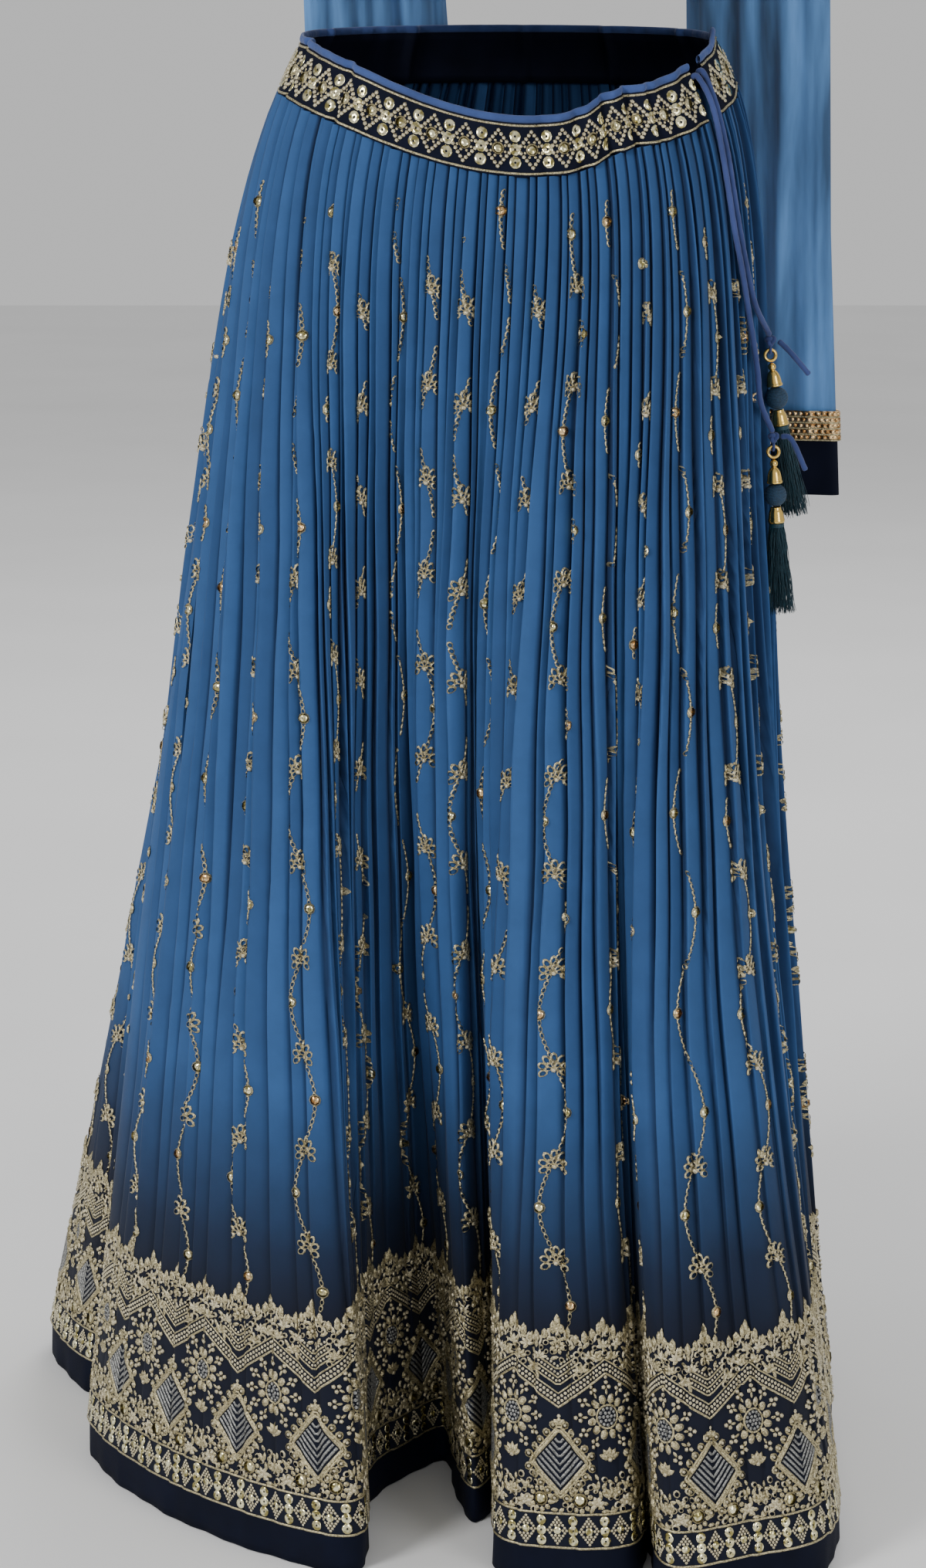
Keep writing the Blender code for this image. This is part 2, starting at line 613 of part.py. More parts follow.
def make_sleeve(side, mats, collection):
    turns = sleeve_turns(side, SLEEVE_AROUND)
    downs = np.linspace(0, 1, SLEEVE_ROWS + 1) ** 1.15
    outer = sleeve_grid(side, turns, downs, SLEEVE_WALL / 2)
    inner = sleeve_grid(side, turns, downs, -SLEEVE_WALL / 2)
    add_wall(f"sleeve_{side}", outer, inner, mats["sheer"], collection, closed=True)
    bands = {
        "sleeve_trim": ("gold", SLEEVE_END_Z + TRIM_HEIGHT, SLEEVE_END_Z, 1.5 * SLEEVE_WALL + SEAM_GAP),
        "sleeve_cuff": ("navy", SLEEVE_END_Z - SEAM_GAP, CUFF_END_Z, 0.0),
    }
    for name, (slot, top, bottom, shift) in bands.items():
        heights = [np.full_like(turns, top), np.full_like(turns, bottom)]
        walls = [
            np.array([sleeve_section(side, turns, z, shift + half) for z in heights])
            for half in (SLEEVE_WALL / 2, -SLEEVE_WALL / 2)
        ]
        add_wall(f"{name}_{side}", walls[0], walls[1], mats[slot], collection, closed=True)


def route_curve(points, step):
    """A smooth curve through a route's points, read at even steps."""
    points = np.asarray(points, float)
    ends = np.vstack([2 * points[0] - points[1], points, 2 * points[-1] - points[-2]])
    curve = []
    for k in range(len(points) - 1):
        p0, p1, p2, p3 = ends[k : k + 4]
        for t in np.arange(24) / 24:
            curve.append(0.5 * (2 * p1 + (p2 - p0) * t + (2 * p0 - 5 * p1 + 4 * p2 - p3) * t**2
                                + (3 * p1 - p0 - 3 * p2 + p3) * t**3))
    curve = np.array(curve + [points[-1]])
    along = np.concatenate([[0], np.cumsum(np.linalg.norm(np.diff(curve, axis=0), axis=1))])
    count = max(3, round(along[-1] / step) + 1)
    wanted = np.linspace(0, along[-1], count)
    return np.stack([np.interp(wanted, along, curve[:, k]) for k in range(3)], 1)


def add_tube(name, points, radius, mat, collection):
    data = bpy.data.curves.new(name, "CURVE")
    data.dimensions = "3D"
    data.bevel_depth = radius
    data.bevel_resolution = 2
    data.use_fill_caps = True
    spline = data.splines.new("POLY")
    spline.points.add(len(points) - 1)
    for point, place in zip(spline.points, points):
        point.co = (*place, 1.0)
    data.materials.append(mat)
    obj = bpy.data.objects.new(name, data)
    collection.objects.link(obj)
    return obj


def add_turned(name, profile, steps, mat, collection):
    """A solid turned round Z from a profile of (radius, height), from its top down."""
    mesh = bpy.data.meshes.new(name)
    verts = [(radius, 0.0, height) for radius, height in profile]
    mesh.from_pydata(verts, [(k, k + 1) for k in range(len(verts) - 1)], [])
    mesh.materials.append(mat)
    obj = bpy.data.objects.new(name, mesh)
    collection.objects.link(obj)
    screw = obj.modifiers.new("turn", "SCREW")
    screw.steps = screw.render_steps = steps
    screw.use_merge_vertices = True
    screw.merge_threshold = 0.00001
    screw.use_smooth_shade = True
    return obj


def ball_profile(radius, steps, top=0.0):
    """A half circle's profile, its upper pole at the height top."""
    turns = [math.pi * k / steps for k in range(steps + 1)]
    return [(radius * math.sin(t), top - radius + radius * math.cos(t)) for t in turns]


def add_ring(name, radius, wire, segments, mat, collection):
    bpy.ops.mesh.primitive_torus_add(
        major_radius=radius, minor_radius=wire, major_segments=segments, minor_segments=6,
        rotation=(math.radians(90), 0, 0),
    )
    obj = bpy.context.object
    obj.name = name
    obj.data.name = name
    obj.data.materials.append(mat)
    for other in list(obj.users_collection):
        other.objects.unlink(obj)
    collection.objects.link(obj)
    return obj


def strand_places():
    """Where each strand leaves the tassel's head: rings of them, and how long each is."""
    reach = HEAD_RADIUS - 2.2 * STRAND_WIDTH
    for ring, count in enumerate(STRAND_RINGS):
        share = ring / (len(STRAND_RINGS) - 1)
        for k in range(count):
            turn = 2 * math.pi * (k + 0.5 * (ring % 2)) / count
            length = STRAND_LENGTH * (1 - 0.10 * abs(math.sin(3.1 * k + 1.3 * ring)))
            yield share * reach, turn, share * STRAND_SPREAD, length


def strand_mesh(name, top):
    """The loose strands: three-sided, tapered and bowed outwards, their roots in the head."""
    verts, faces = [], []
    for radius, turn, spread, length in strand_places():
        first = len(verts)
        levels = ((0.6 * HEAD_HEIGHT, radius, 1.0), (-0.45 * length, 0.0, 1.0), (-length, spread, 0.6))
        for drop, out, width in levels:
            out = out if out != 0.0 else 0.35 * radius + 0.65 * spread
            middle = (out * math.cos(turn), out * math.sin(turn))
            for corner in range(3):
                spin = turn + 2 * math.pi * corner / 3
                verts.append((
                    middle[0] + width * STRAND_WIDTH * math.cos(spin),
                    middle[1] + width * STRAND_WIDTH * math.sin(spin),
                    top + drop,
                ))
        for level in (0, 1):
            for corner in range(3):
                a = first + 3 * level + corner
                b = first + 3 * level + (corner + 1) % 3
                faces.append((a, a + 3, b + 3, b))
        faces.append((first, first + 1, first + 2))
        faces.append((first + 8, first + 7, first + 6))
    mesh = bpy.data.meshes.new(name)
    mesh.from_pydata(verts, [], faces)
    return mesh


def add_fringe(name, top, mats, collection, cutters):
    """The tassel's bound head with its strands fused to it."""
    profile = [(0, top), (HEAD_RADIUS, top), (HEAD_RADIUS, top - HEAD_HEIGHT), (0, top - HEAD_HEIGHT)]
    head = add_turned(name, profile, 12, mats["tassel"], collection)
    strands = bpy.data.objects.new(name + "_strands", strand_mesh(name + "_strands", top - HEAD_HEIGHT))
    cutters.objects.link(strands)
    strands.hide_render = True
    strands.display_type = "WIRE"
    join = head.modifiers.new("strands", "BOOLEAN")
    join.operation = "UNION"
    join.object = strands
    return head, strands


def make_tassel(key, mats, collection, cutters):
    """What hangs on a cord: ring, bell, ball, cap and fringe, one below another."""
    place = TASSELS[key]
    hanger = bpy.data.objects.new(f"tassel_{key}", None)
    collection.objects.link(hanger)
    hanger.location = (place["x"], place["y"], place["z"])
    hanger.rotation_euler = (0, -math.radians(place["lean"]), 0)
    ring = add_ring(f"tassel_{key}_ring", RING_RADIUS, RING_WIRE, 12, mats["brass"], collection)
    top = -(RING_RADIUS + RING_WIRE + SEAM_GAP)
    bead_end = top - 1.85 * BEAD_RADIUS
    bell = [p for p in ball_profile(BEAD_RADIUS, 6, top) if p[1] > bead_end]
    for radius, drop in ((0.36, 0.04), (0.52, 0.12), (0.80, 0.42), (0.92, 0.80), (1.0, 0.88), (1.0, 1.0)):
        bell.append((radius * BELL_RADIUS, bead_end - drop * BELL_HEIGHT))
    bell.append((0, bead_end - BELL_HEIGHT))
    pieces = [ring, add_turned(f"tassel_{key}_bell", bell, 12, mats["brass"], collection)]
    top = bead_end - BELL_HEIGHT - SEAM_GAP
    ball = add_turned(f"tassel_{key}_ball", ball_profile(BALL_RADIUS, 8, top), 12, mats["tassel"], collection)
    top -= 2 * BALL_RADIUS + SEAM_GAP
    cap = [(0, top), (CAP_TOP_RADIUS, top), (0.86 * CAP_RADIUS, top - 0.45 * CAP_HEIGHT),
           (CAP_RADIUS, top - 0.85 * CAP_HEIGHT), (CAP_RADIUS, top - CAP_HEIGHT), (0, top - CAP_HEIGHT)]
    pieces += [ball, add_turned(f"tassel_{key}_cap", cap, 12, mats["brass"], collection)]
    top -= CAP_HEIGHT + SEAM_GAP
    pieces += add_fringe(f"tassel_{key}_fringe", top, mats, collection, cutters)
    for piece in pieces:
        piece.parent = hanger


def make_knot(key, mats, collection):
    """The cord's knot above the ring, with the loop that holds the ring, as one solid."""
    place = TASSELS[key]
    loop_radius = RING_WIRE + 0.0003 + 0.0010
    loop_z = place["z"] + RING_RADIUS
    bpy.ops.mesh.primitive_torus_add(
        major_radius=loop_radius, minor_radius=0.0010, major_segments=10, minor_segments=6,
        location=(place["x"], place["y"], loop_z), rotation=(0, math.radians(90), 0),
    )
    loop = bpy.context.object
    bpy.ops.mesh.primitive_uv_sphere_add(
        segments=10, ring_count=6, radius=KNOT_RADIUS,
        location=(place["x"], place["y"], loop_z + loop_radius + KNOT_RADIUS - 0.0002),
        scale=(1.0, 1.0, 0.85),
    )
    knot = bpy.context.object
    bpy.ops.object.transform_apply(location=False, rotation=False, scale=True)
    join = knot.modifiers.new("loop", "BOOLEAN")
    join.operation = "UNION"
    join.object = loop
    knot.name = f"knot_{key}"
    knot.data.materials.append(mats["cord"])
    loop.hide_render = True
    loop.display_type = "WIRE"
    return knot, loop


def cord_route(key, skirt):
    """The cord from the slit, over the band and down the tops of the pleats."""
    points = []
    for place in CORD_STARTS[key]:
        angle = np.array([math.radians(place["angle"])])
        points.append(band_grid(angle, (place["down"],), place["out"] + BAND_WALL / 2)[0, 0])
    for place in CORD_ROUTES[key]:
        ridge = 0.8 * np.interp(place["down"], PLEAT_DOWN, PLEAT_HEIGHT)
        out = ridge + SKIRT_WALL / 2 + CORD_DIAMETER / 2 + CORD_LIFT
        points.append(skirt.points(np.array(place["round"]), np.array(place["down"]), out))
    return np.array(points)


def make_drawstring(key, skirt, mats, collection, cutters):
    knot, loop = make_knot(key, mats, collection)
    for obj, home in ((knot, collection), (loop, cutters)):
        for other in list(obj.users_collection):
            other.objects.unlink(obj)
        home.objects.link(obj)
    radius = CORD_DIAMETER / 2
    centre = np.array(knot.location)
    route = np.vstack([cord_route(key, skirt), centre + KNOT_ENTRY])
    add_tube(f"drawcord_{key}", route_curve(route, CORD_STEP), radius, mats["cord"], collection)
    tail = np.array(TAIL_ROUTES[key]) + centre
    add_tube(f"cord_tail_{key}", route_curve(tail, CORD_STEP), radius * 0.95, mats["cord"], collection)


def main():
    clear_scene()
    collection = new_collection("lehenga_choli")
    cutters = new_collection("cutters")
    mats = {
        "skirt": material("skirt", (0.055, 0.160, 0.400), 0.75),
        "navy": material("navy", (0.010, 0.014, 0.045), 0.70),
        "sheer": material("sheer", (0.060, 0.170, 0.420), 0.80),
        "gold": material("gold", (0.550, 0.360, 0.170), 0.40, 0.6),
        "cord": material("cord", (0.100, 0.130, 0.340), 0.80),
        "brass": material("brass", (0.700, 0.450, 0.100), 0.25, 1.0),
        "tassel": material("tassel", (0.004, 0.045, 0.060), 0.55),
    }
    skirt = Skirt()
    make_skirt(skirt, mats, collection)
    make_band(mats, collection)
    for side in ("front", "back"):
        make_blouse_panel(side, mats, collection)
    for side in ("left", "right"):
        make_sleeve(side, mats, collection)
    for key in ("a", "b"):
        make_drawstring(key, skirt, mats, collection, cutters)
        make_tassel(key, mats, collection, cutters)


main()
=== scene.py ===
"""The looks of a lehenga choli: a pleated skirt of ombre georgette with an embroidered border,
vines and waistband, its drawstring with two tassels, and a blouse with sheer sleeves.

Metres, +Z up, the wearer faces -Y. Left and right are the viewer's, from the front. Cloth
pieces are thin shells on the surfaces that their solids follow, worked out in finer steps.
"""

import math

import bpy
import numpy as np
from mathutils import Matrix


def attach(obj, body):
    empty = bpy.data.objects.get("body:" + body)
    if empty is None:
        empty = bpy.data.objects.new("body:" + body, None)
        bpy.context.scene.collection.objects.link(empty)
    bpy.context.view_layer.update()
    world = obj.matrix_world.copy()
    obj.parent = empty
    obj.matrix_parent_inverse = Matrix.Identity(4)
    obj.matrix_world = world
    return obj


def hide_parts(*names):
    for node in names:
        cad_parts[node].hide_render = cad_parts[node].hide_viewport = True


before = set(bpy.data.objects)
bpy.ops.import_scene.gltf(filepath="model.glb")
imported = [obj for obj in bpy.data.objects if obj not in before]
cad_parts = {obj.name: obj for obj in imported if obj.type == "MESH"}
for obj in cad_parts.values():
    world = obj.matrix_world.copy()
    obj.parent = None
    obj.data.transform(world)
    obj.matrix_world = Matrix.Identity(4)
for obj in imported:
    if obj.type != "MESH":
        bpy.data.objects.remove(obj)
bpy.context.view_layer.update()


def table(keys, *rows):
    """Rows of a table, each with its values under the same keys."""
    return tuple(dict(zip(keys.split(), row)) for row in rows)


# Camera and light
CAMERA_PLACE = (-0.0309, -2.8, 0.15)
CAMERA_TILT = math.radians(90 - 13.609)
CAMERA_LENS = 91.86
FLOOR_Z = -1.0165
FLOOR_SIZE = 14.0

# Waistband, as the solids have it
WAIST_HALF_WIDTH = 0.1415
WAIST_HALF_DEPTH = 0.098
HIP_HALF_WIDTH = 0.158
HIP_HALF_DEPTH = 0.112
BAND_HEIGHT = 0.034
FRONT_DIP = 0.050
DIP_TURN = math.radians(6)
DIP_SHARPNESS = 4.6
SLIT_START = math.radians(238.4)
SLIT_END = math.radians(245.4)
BINDING_HEIGHT = 0.0055
BINDING_DEPTH = 0.0036
BAND_FOLDS = table(
    "angle depth width lift",
    (105, 0.0035, 2.6, 0.001), (131, 0.0030, 2.6, 0.000), (189, 0.0020, 2.0, 0.000),
    (199, 0.0035, 2.4, 0.000), (207, 0.0055, 2.2, 0.005), (214, 0.0045, 2.0, 0.004),
    (221, 0.0030, 2.2, 0.001), (268, 0.0010, 4.0, 0.007), (300, 0.0035, 2.6, 0.000),
    (330, 0.0040, 2.6, 0.000), (355, 0.0030, 2.6, 0.000), (28, 0.0040, 2.6, 0.000),
    (62, 0.0035, 2.6, 0.000),
)
LIFT_WIDTH = math.radians(7)
GATHERS_AT = math.radians(214)
BAND_WALL = 0.001
BAND_TURN_IN = 0.075
BAND_OVERHANG = 0.06
BAND_SAMPLES = 640

# Skirt, as the solids have it
PLEATS = 128
PANELS = table(
    "name first last",
    ("left_front", 34, 48), ("front_left", 48, 59), ("front", 59, 71), ("front_right", 71, 85),
    ("right", 85, 101), ("back_right", 101, 118), ("back", 118, 138), ("left_back", 138, 162),
)
SKIRT_INSET = 0.0016
HEM_Z = -1.016
HEM_BAND_HEIGHT = 0.027
FOLD_GROWTH = 1.6
BASE_WAVES = 3
HIP_SPRING = 0.015
SIDE_SWAY = 0.010
SEAM_GAP = 0.0003
PLEAT_DOWN = (0.0, 0.10, 0.35, 0.65, 0.84, 0.92, 1.0)
PLEAT_HEIGHT = (0.0030, 0.0048, 0.0066, 0.0062, 0.0040, 0.0020, 0.0012)
PLEAT_SOFTNESS = (1.0, 1.0, 1.0, 0.84, 0.55, 0.60, 0.70)
HEM_OUTLINE = (
    (-0.060, 0.292), (-0.105, 0.235), (-0.172, 0.272), (-0.208, 0.205),  # back
    (-0.290, 0.222), (-0.350, 0.150), (-0.322, 0.060), (-0.272, 0.006),  # left side
    (-0.304, -0.060), (-0.258, -0.152), (-0.180, -0.232), (-0.103, -0.268),  # left panel
    (-0.099, -0.160), (-0.070, -0.106), (-0.044, -0.080),  # deep valley
    (-0.036, -0.135), (-0.023, -0.190), (0.000, -0.146),  # inner fold
    (-0.008, -0.264), (0.036, -0.290), (0.084, -0.284), (0.097, -0.238),  # middle panel
    (0.107, -0.318), (0.164, -0.302), (0.216, -0.270),  # right panel
    (0.231, -0.178), (0.206, -0.098), (0.242, -0.026), (0.214, 0.040),  # right side
    (0.244, 0.112), (0.186, 0.142), (0.178, 0.226), (0.112, 0.198),  # right of the back
    (0.068, 0.284), (0.012, 0.226),  # back again
)
OUTLINE_STEPS = 48
OUTLINE_SAMPLES = 1536

# Fine pleats: the height over a pleat's width, from its crease over its fold to the next one
PLEAT_ACROSS = (0.0, 0.03, 0.07, 0.12, 0.20, 0.34, 0.50, 0.66, 0.80, 0.90, 0.96, 1.0)
PLEAT_SHAPE = (0.0, 0.46, 0.86, 1.0, 0.98, 0.88, 0.74, 0.60, 0.44, 0.28, 0.10, 0.0)
PLEAT_PLACES = (0.0, 0.035, 0.075, 0.125, 0.20, 0.31, 0.44, 0.57, 0.70, 0.82, 0.91, 0.965)
PLEAT_LEAN = -0.13
PLEAT_GAIN = 1.22
LEAN_DOWN = (0, 0.6, 0.85, 1)
LEAN_SHARE = (1, 1, 0.5, 0.1)
# Painted shade in the creases: how strongly it darkens the skirt's colour, at shares of the way
# down
CREASE_SHADE_DOWN = (0, 0.55, 0.76, 0.86, 1)
CREASE_SHADE_SHARE = (1, 0.9, 0.5, 0.26, 0.12)
SKIRT_ROWS = 70
HEM_ROWS = 5
HEM_WALL = 0.0008

# Blouse, as the solids have it
BLOUSE_HEM_Z = 0.033
BLOUSE_HEM_TILT = 0.020
UNDERARM_Z = 0.245
SHOULDER_TIP_Z = 0.366
NECK_POINT_Z = 0.402
NECK_HALF_WIDTH = 0.062
SHOULDER_HALF_WIDTH = 0.163
CAP_START_Z = 0.262
BODY_SECTIONS = table(
    "z half_width front back",
    (0.000, 0.1270, 0.088, 0.084), (0.033, 0.1280, 0.088, 0.084), (0.110, 0.1320, 0.093, 0.090),
    (0.190, 0.1420, 0.105, 0.099), (0.245, 0.1480, 0.104, 0.101), (0.300, 0.1760, 0.096, 0.096),
    (0.366, 0.2130, 0.086, 0.090), (0.410, 0.2250, 0.080, 0.085),
)
CUP = {"x": 0.078, "z": 0.190, "depth": 0.026, "half_width": 0.046, "half_height": 0.050}
FRONT_NECK_DROP = 0.120
BACK_NECK_DROP = 0.085
NECK_ANGLE = math.radians(17)
TIP_ANGLE = math.radians(50)
SIDE_ANGLE = math.radians(89.2)
CLOTH_SIDE = {"front": math.radians(94.0), "back": math.radians(90.3)}
BLOUSE_WALL = 0.0009

# Sleeves, as the solids have them; each wrinkle has a count, a depth, a bend and a start
SLEEVE_END_Z = -0.290
CUFF_END_Z = -0.331
TRIM_HEIGHT = 0.0215
TRIM_OUT = 0.0021
TRIM_WALL = 0.0006
SEQUIN_LIFT = 0.0009
ARMHOLE_CLEAR = 0.0019
HEAD_DROP = 0.11
SLEEVE_KEYS = "z x y wide deep turn"
SLEEVE_SECTIONS = {
    "right": table(
        SLEEVE_KEYS,
        (0.300, 0.192, 0.008, 0.040, 0.038, 10), (0.170, 0.186, 0.040, 0.050, 0.022, 22),
        (0.040, 0.177, 0.078, 0.056, 0.014, 30), (-0.140, 0.182, 0.094, 0.057, 0.013, 30),
        (-0.331, 0.192, 0.111, 0.058, 0.013, 30),
    ),
    "left": table(
        SLEEVE_KEYS,
        (0.300, -0.192, 0.008, 0.040, 0.038, -10), (0.200, -0.186, 0.040, 0.046, 0.026, -40),
        (0.120, -0.148, 0.095, 0.050, 0.017, -42), (0.040, -0.095, 0.128, 0.054, 0.014, -22),
        (-0.140, -0.086, 0.1452, 0.056, 0.013, -14), (-0.331, -0.088, 0.1860, 0.058, 0.013, -14),
    ),
}
SLEEVE_FOLDS = 5
SLEEVE_FOLD_DEPTH = 0.0030
SLEEVE_WRINKLES = ((11, 0.0024, 1.6, 1.3), (19, 0.0013, 2.4, 0.4), (31, 0.0006, 3.0, 2.2))

# Drawstring, as the solids have it
CORD_DIAMETER = 0.004
CORD_LIFT = 0.0004
CORD_SIDES = 16
CORD_ON_PLEATS = 0.8
CORD_ANGLES = {"a": (244.1, 243.8, 242.4, 241.7), "b": (239.7, 239.7, 239.7, 239.3)}
CORD_OVER_BAND = ((0.16, -0.0024), (0.13, 0.0030), (0.50, 0.0056), (0.95, 0.0046))
# The cords' way down the skirt: the share of the way round it, and of the way down it
CORD_ROUTES = {
    "a": ((0.6815, 0.024), (0.6812, 0.051), (0.6835, 0.079), (0.6885, 0.108), (0.6975, 0.136)),
    "b": ((0.6760, 0.022), (0.6757, 0.049), (0.6775, 0.077), (0.6822, 0.106), (0.6870, 0.135),
          (0.6920, 0.160), (0.6965, 0.183), (0.7000, 0.207)),
}
KNOT_ENTRY = (-0.0008, -0.0012, 0.0040)
TAIL_ROUTES = {
    "a": ((0.0056, -0.0014, 0.0000), (0.0140, -0.0040, -0.0080), (0.0268, -0.0060, -0.0228)),
    "b": ((0.0050, -0.0013, 0.0010), (0.0120, -0.0040, -0.0010), (0.0220, -0.0060, -0.0220)),
}
TASSELS = {
    "a": {"x": 0.1813, "y": -0.045, "z": -0.2123, "lean": 9.5},
    "b": {"x": 0.1831, "y": -0.066, "z": -0.2764, "lean": 3.5},
}
KNOT_RADIUS = 0.0040
KNOT_CORD = 0.00150
LOOP_CORD = 0.0010
RING_RADIUS = 0.0038
RING_WIRE = 0.0012
RING_STEPS = 64
WIRE_SIDES = 12
BRASS_SIDES = 48
BALL_STEPS = 72
BEAD_RADIUS = 0.0028
BEAD_SHOWN = 1.85
BELL_HEIGHT = 0.0112
BALL_RADIUS = 0.0080
CAP_HEIGHT = 0.0110
HEAD_RADIUS = 0.0052
HEAD_HEIGHT = 0.0030
STRAND_LENGTH = 0.066
STRAND_SPREAD = 0.0105
STRANDS = 260
STRAND_STEPS = 9
GOLDEN_TURN = 2.399963
HEAD_SIDES = 24
HEAD_ROWS = (
    (0.00002, 0.0), (HEAD_RADIUS, 0.0), (HEAD_RADIUS * 1.04, -0.0008), (HEAD_RADIUS, -0.0016),
    (HEAD_RADIUS * 1.04, -0.0024), (HEAD_RADIUS * 0.96, -HEAD_HEIGHT), (0.00002, -HEAD_HEIGHT),
)

# The turned brass parts: radii, and the share of the part's height down to each
BELL_ROWS = (
    (0.00150, 0.00), (0.00200, 0.03), (0.00290, 0.10), (0.00360, 0.20), (0.00420, 0.32),
    (0.00462, 0.46), (0.00492, 0.62), (0.00512, 0.78), (0.00516, 0.84), (0.00556, 0.87),
    (0.00560, 0.93), (0.00556, 0.985), (0.00530, 1.00), (0.00440, 1.00), (0.00400, 0.90),
    (0.00002, 0.86),
)
CAP_ROWS = (
    (0.00002, 0.0), (0.0026, 0.0), (0.00372, 0.01), (0.00380, 0.05), (0.00380, 0.14),
    (0.00430, 0.22), (0.00505, 0.36), (0.00512, 0.42), (0.00540, 0.60), (0.00560, 0.76),
    (0.00590, 0.80), (0.00592, 0.90), (0.00585, 0.98), (0.00560, 1.0), (0.00520, 1.0),
    (0.00500, 0.9), (0.00002, 0.86),
)

# Embroidery: heights are metres up from the gold edge line
REPEATS = 38
STRIP_TOP = 0.0225
STRIP_COLUMNS = 126
DIAMOND = {"low": 0.0355, "high": 0.0785, "half_width": 0.0200}
CHEVRONS = 7
SCALLOPS = 5
SCALLOPS_OUT = 1.16
FOOT_FLOWER = (0.0138, 0.0320)
MEDALLION_T = 0.087
ZIGZAG = {"low": 0.093, "high": 0.116, "thick": 0.0092}
CROWN_T = 0.1475
CROWN_WAVE = 0.0035
CROWN_PETALS = 12
VINE_START = 0.150
VINE_END = 0.880
VINE_STEP = 0.0043
VINE_TURN = 0.128
VINE_SWING = 0.0120
VINE_SLIP = 0.022
VINE_MIRROR = 0.0040
FIRST_MIRROR = 0.161
STITCH_LIFT = 0.0005
BAND_PITCH = 0.023
BAND_MIRROR = 0.0042
FINE_BEAD = 0.00140
COUCH_STEP = 0.0036
TRIM_ROWS = 5
TRIM_SEQUINS = 64
FILLER = {"gap": 0.0040, "length": 0.0058, "width": 0.0025}
SCATTER_TRIES = 4000
THREADS = ("gold", "silver", "bead", "mirror", "copper")
GOLD, SILVER, BEAD, MIRROR, COPPER = range(5)

# The open face of a pleat, on which a vine shows, at shares of the way down the skirt: where it
# starts and ends, as shares of the pleat, and how wide it is
FACE_DOWN = (0.0, 0.5, 0.8)
FACE_START = (0.10, 0.06, -0.1)
FACE_END = (0.74, 0.86, 1.1)
FACE_WIDTH = (0.46, 0.60, 1.30)

# Colours, all linear, and the heights between which the skirt's dye turns from blue to navy
SKIRT_BLUE = (0.027, 0.088, 0.232)
SKIRT_DEEP = (0.017, 0.051, 0.134)
SKIRT_DUSK = (0.006, 0.017, 0.048)
NAVY = (0.0024, 0.0046, 0.0155)
# Painted shade: the tint that multiplies the skirt's colour in its deepest creases
CREASE_SHADE = (0.12, 0.15, 0.20)
SHEER_BLUE = (0.085, 0.205, 0.430)
SHEER_STRETCH = (1.0, 1.0, 0.09)
DYE_START_Z = -0.690
DYE_END_Z = -0.850


def circle(count):
    """Angles evenly round a circle."""
    return np.arange(count) / count * 2 * math.pi


def around(radius, turn, height):
    """Points round an upright line."""
    return np.stack([radius * np.cos(turn), radius * np.sin(turn), height + 0 * turn], -1)


def unit(vectors):
    return vectors / np.linalg.norm(vectors, axis=-1, keepdims=True)


def way_along(path):
    """The length of a path up to each of its points."""
    return np.concatenate([[0], np.cumsum(np.linalg.norm(np.diff(path, axis=0), axis=1))])


def read_path(path, along, wanted):
    """Points on a path at the wanted lengths along it."""
    return np.stack([np.interp(wanted, along, column) for column in path.T], 1)


def catmull_rom(p0, p1, p2, p3, t):
    return 0.5 * (
        2 * p1
        + (p2 - p0) * t
        + (2 * p0 - 5 * p1 + 4 * p2 - p3) * t**2
        + (3 * p1 - p0 - 3 * p2 + p3) * t**3
    )


def smooth_loop(points, steps):
    """A closed Catmull-Rom curve through the points."""
    ring = np.asarray(points, float)
    t = (np.arange(steps) / steps)[None, :, None]
    corners = [np.roll(ring, shift, 0)[:, None, :] for shift in (1, 0, -1, -2)]
    return catmull_rom(*corners, t).reshape(-1, ring.shape[1])


def even_loop(points, samples):
    """The same closed curve with its points at equal distances along it, and its length."""
    closed = np.vstack([points, points[:1]])
    along = way_along(closed)
    return read_path(closed, along, np.arange(samples) / samples * along[-1]), along[-1]


def low_waves(ring, waves):
    """The ring with only its slowest waves left, as the skirt would hang without folds."""
    spectrum = np.fft.rfft(ring, axis=0)
    spectrum[waves + 1 :] = 0
    return np.fft.irfft(spectrum, n=len(ring), axis=0)


def ellipse_xy(angle, half_width, half_depth):
    return np.stack([-half_width * np.sin(angle), half_depth * np.cos(angle)], -1)


def ring_value(table, u):
    """The value of a table that goes once round, at the fractions u of the way round."""
    places = np.arange(len(table) + 1) / len(table)
    closed = np.vstack([table, table[:1]])
    return np.stack([np.interp(u % 1.0, places, closed[:, k]) for k in range(closed.shape[1])], -1)


def turn_from(angle, degrees):
    """How far an angle lies from one in degrees, by the shorter way round."""
    return np.angle(np.exp(1j * (angle - math.radians(degrees))))


def band_lift(angle):
    """Height of the band's top edge: low in front, raised a little where it is gathered."""
    facing = (1 + np.cos(angle - math.pi - DIP_TURN)) / 2
    height = -FRONT_DIP * facing**DIP_SHARPNESS
    for fold in BAND_FOLDS:
        off = turn_from(angle, fold["angle"])
        height = height + fold["lift"] * np.exp(-((off / LIFT_WIDTH) ** 2))
    return height


def band_tuck(angle):
    """How far the gathers draw the band inwards."""
    depth = np.zeros_like(angle)
    for fold in BAND_FOLDS:
        off = turn_from(angle, fold["angle"])
        share = np.clip(1 - np.abs(off) / math.radians(fold["width"]), 0, 1)
        depth = depth + fold["depth"] * share**2 * (3 - 2 * share)
    return depth


def band_gathers(angle):
    """How far the band's cloth stands in or out, most where the string draws it up."""
    near = np.exp((np.cos(angle - GATHERS_AT) - 1) / 0.08)
    return (0.0003 + 0.0015 * near) * np.sin(38 * angle + 1.3 * np.sin(9 * angle))


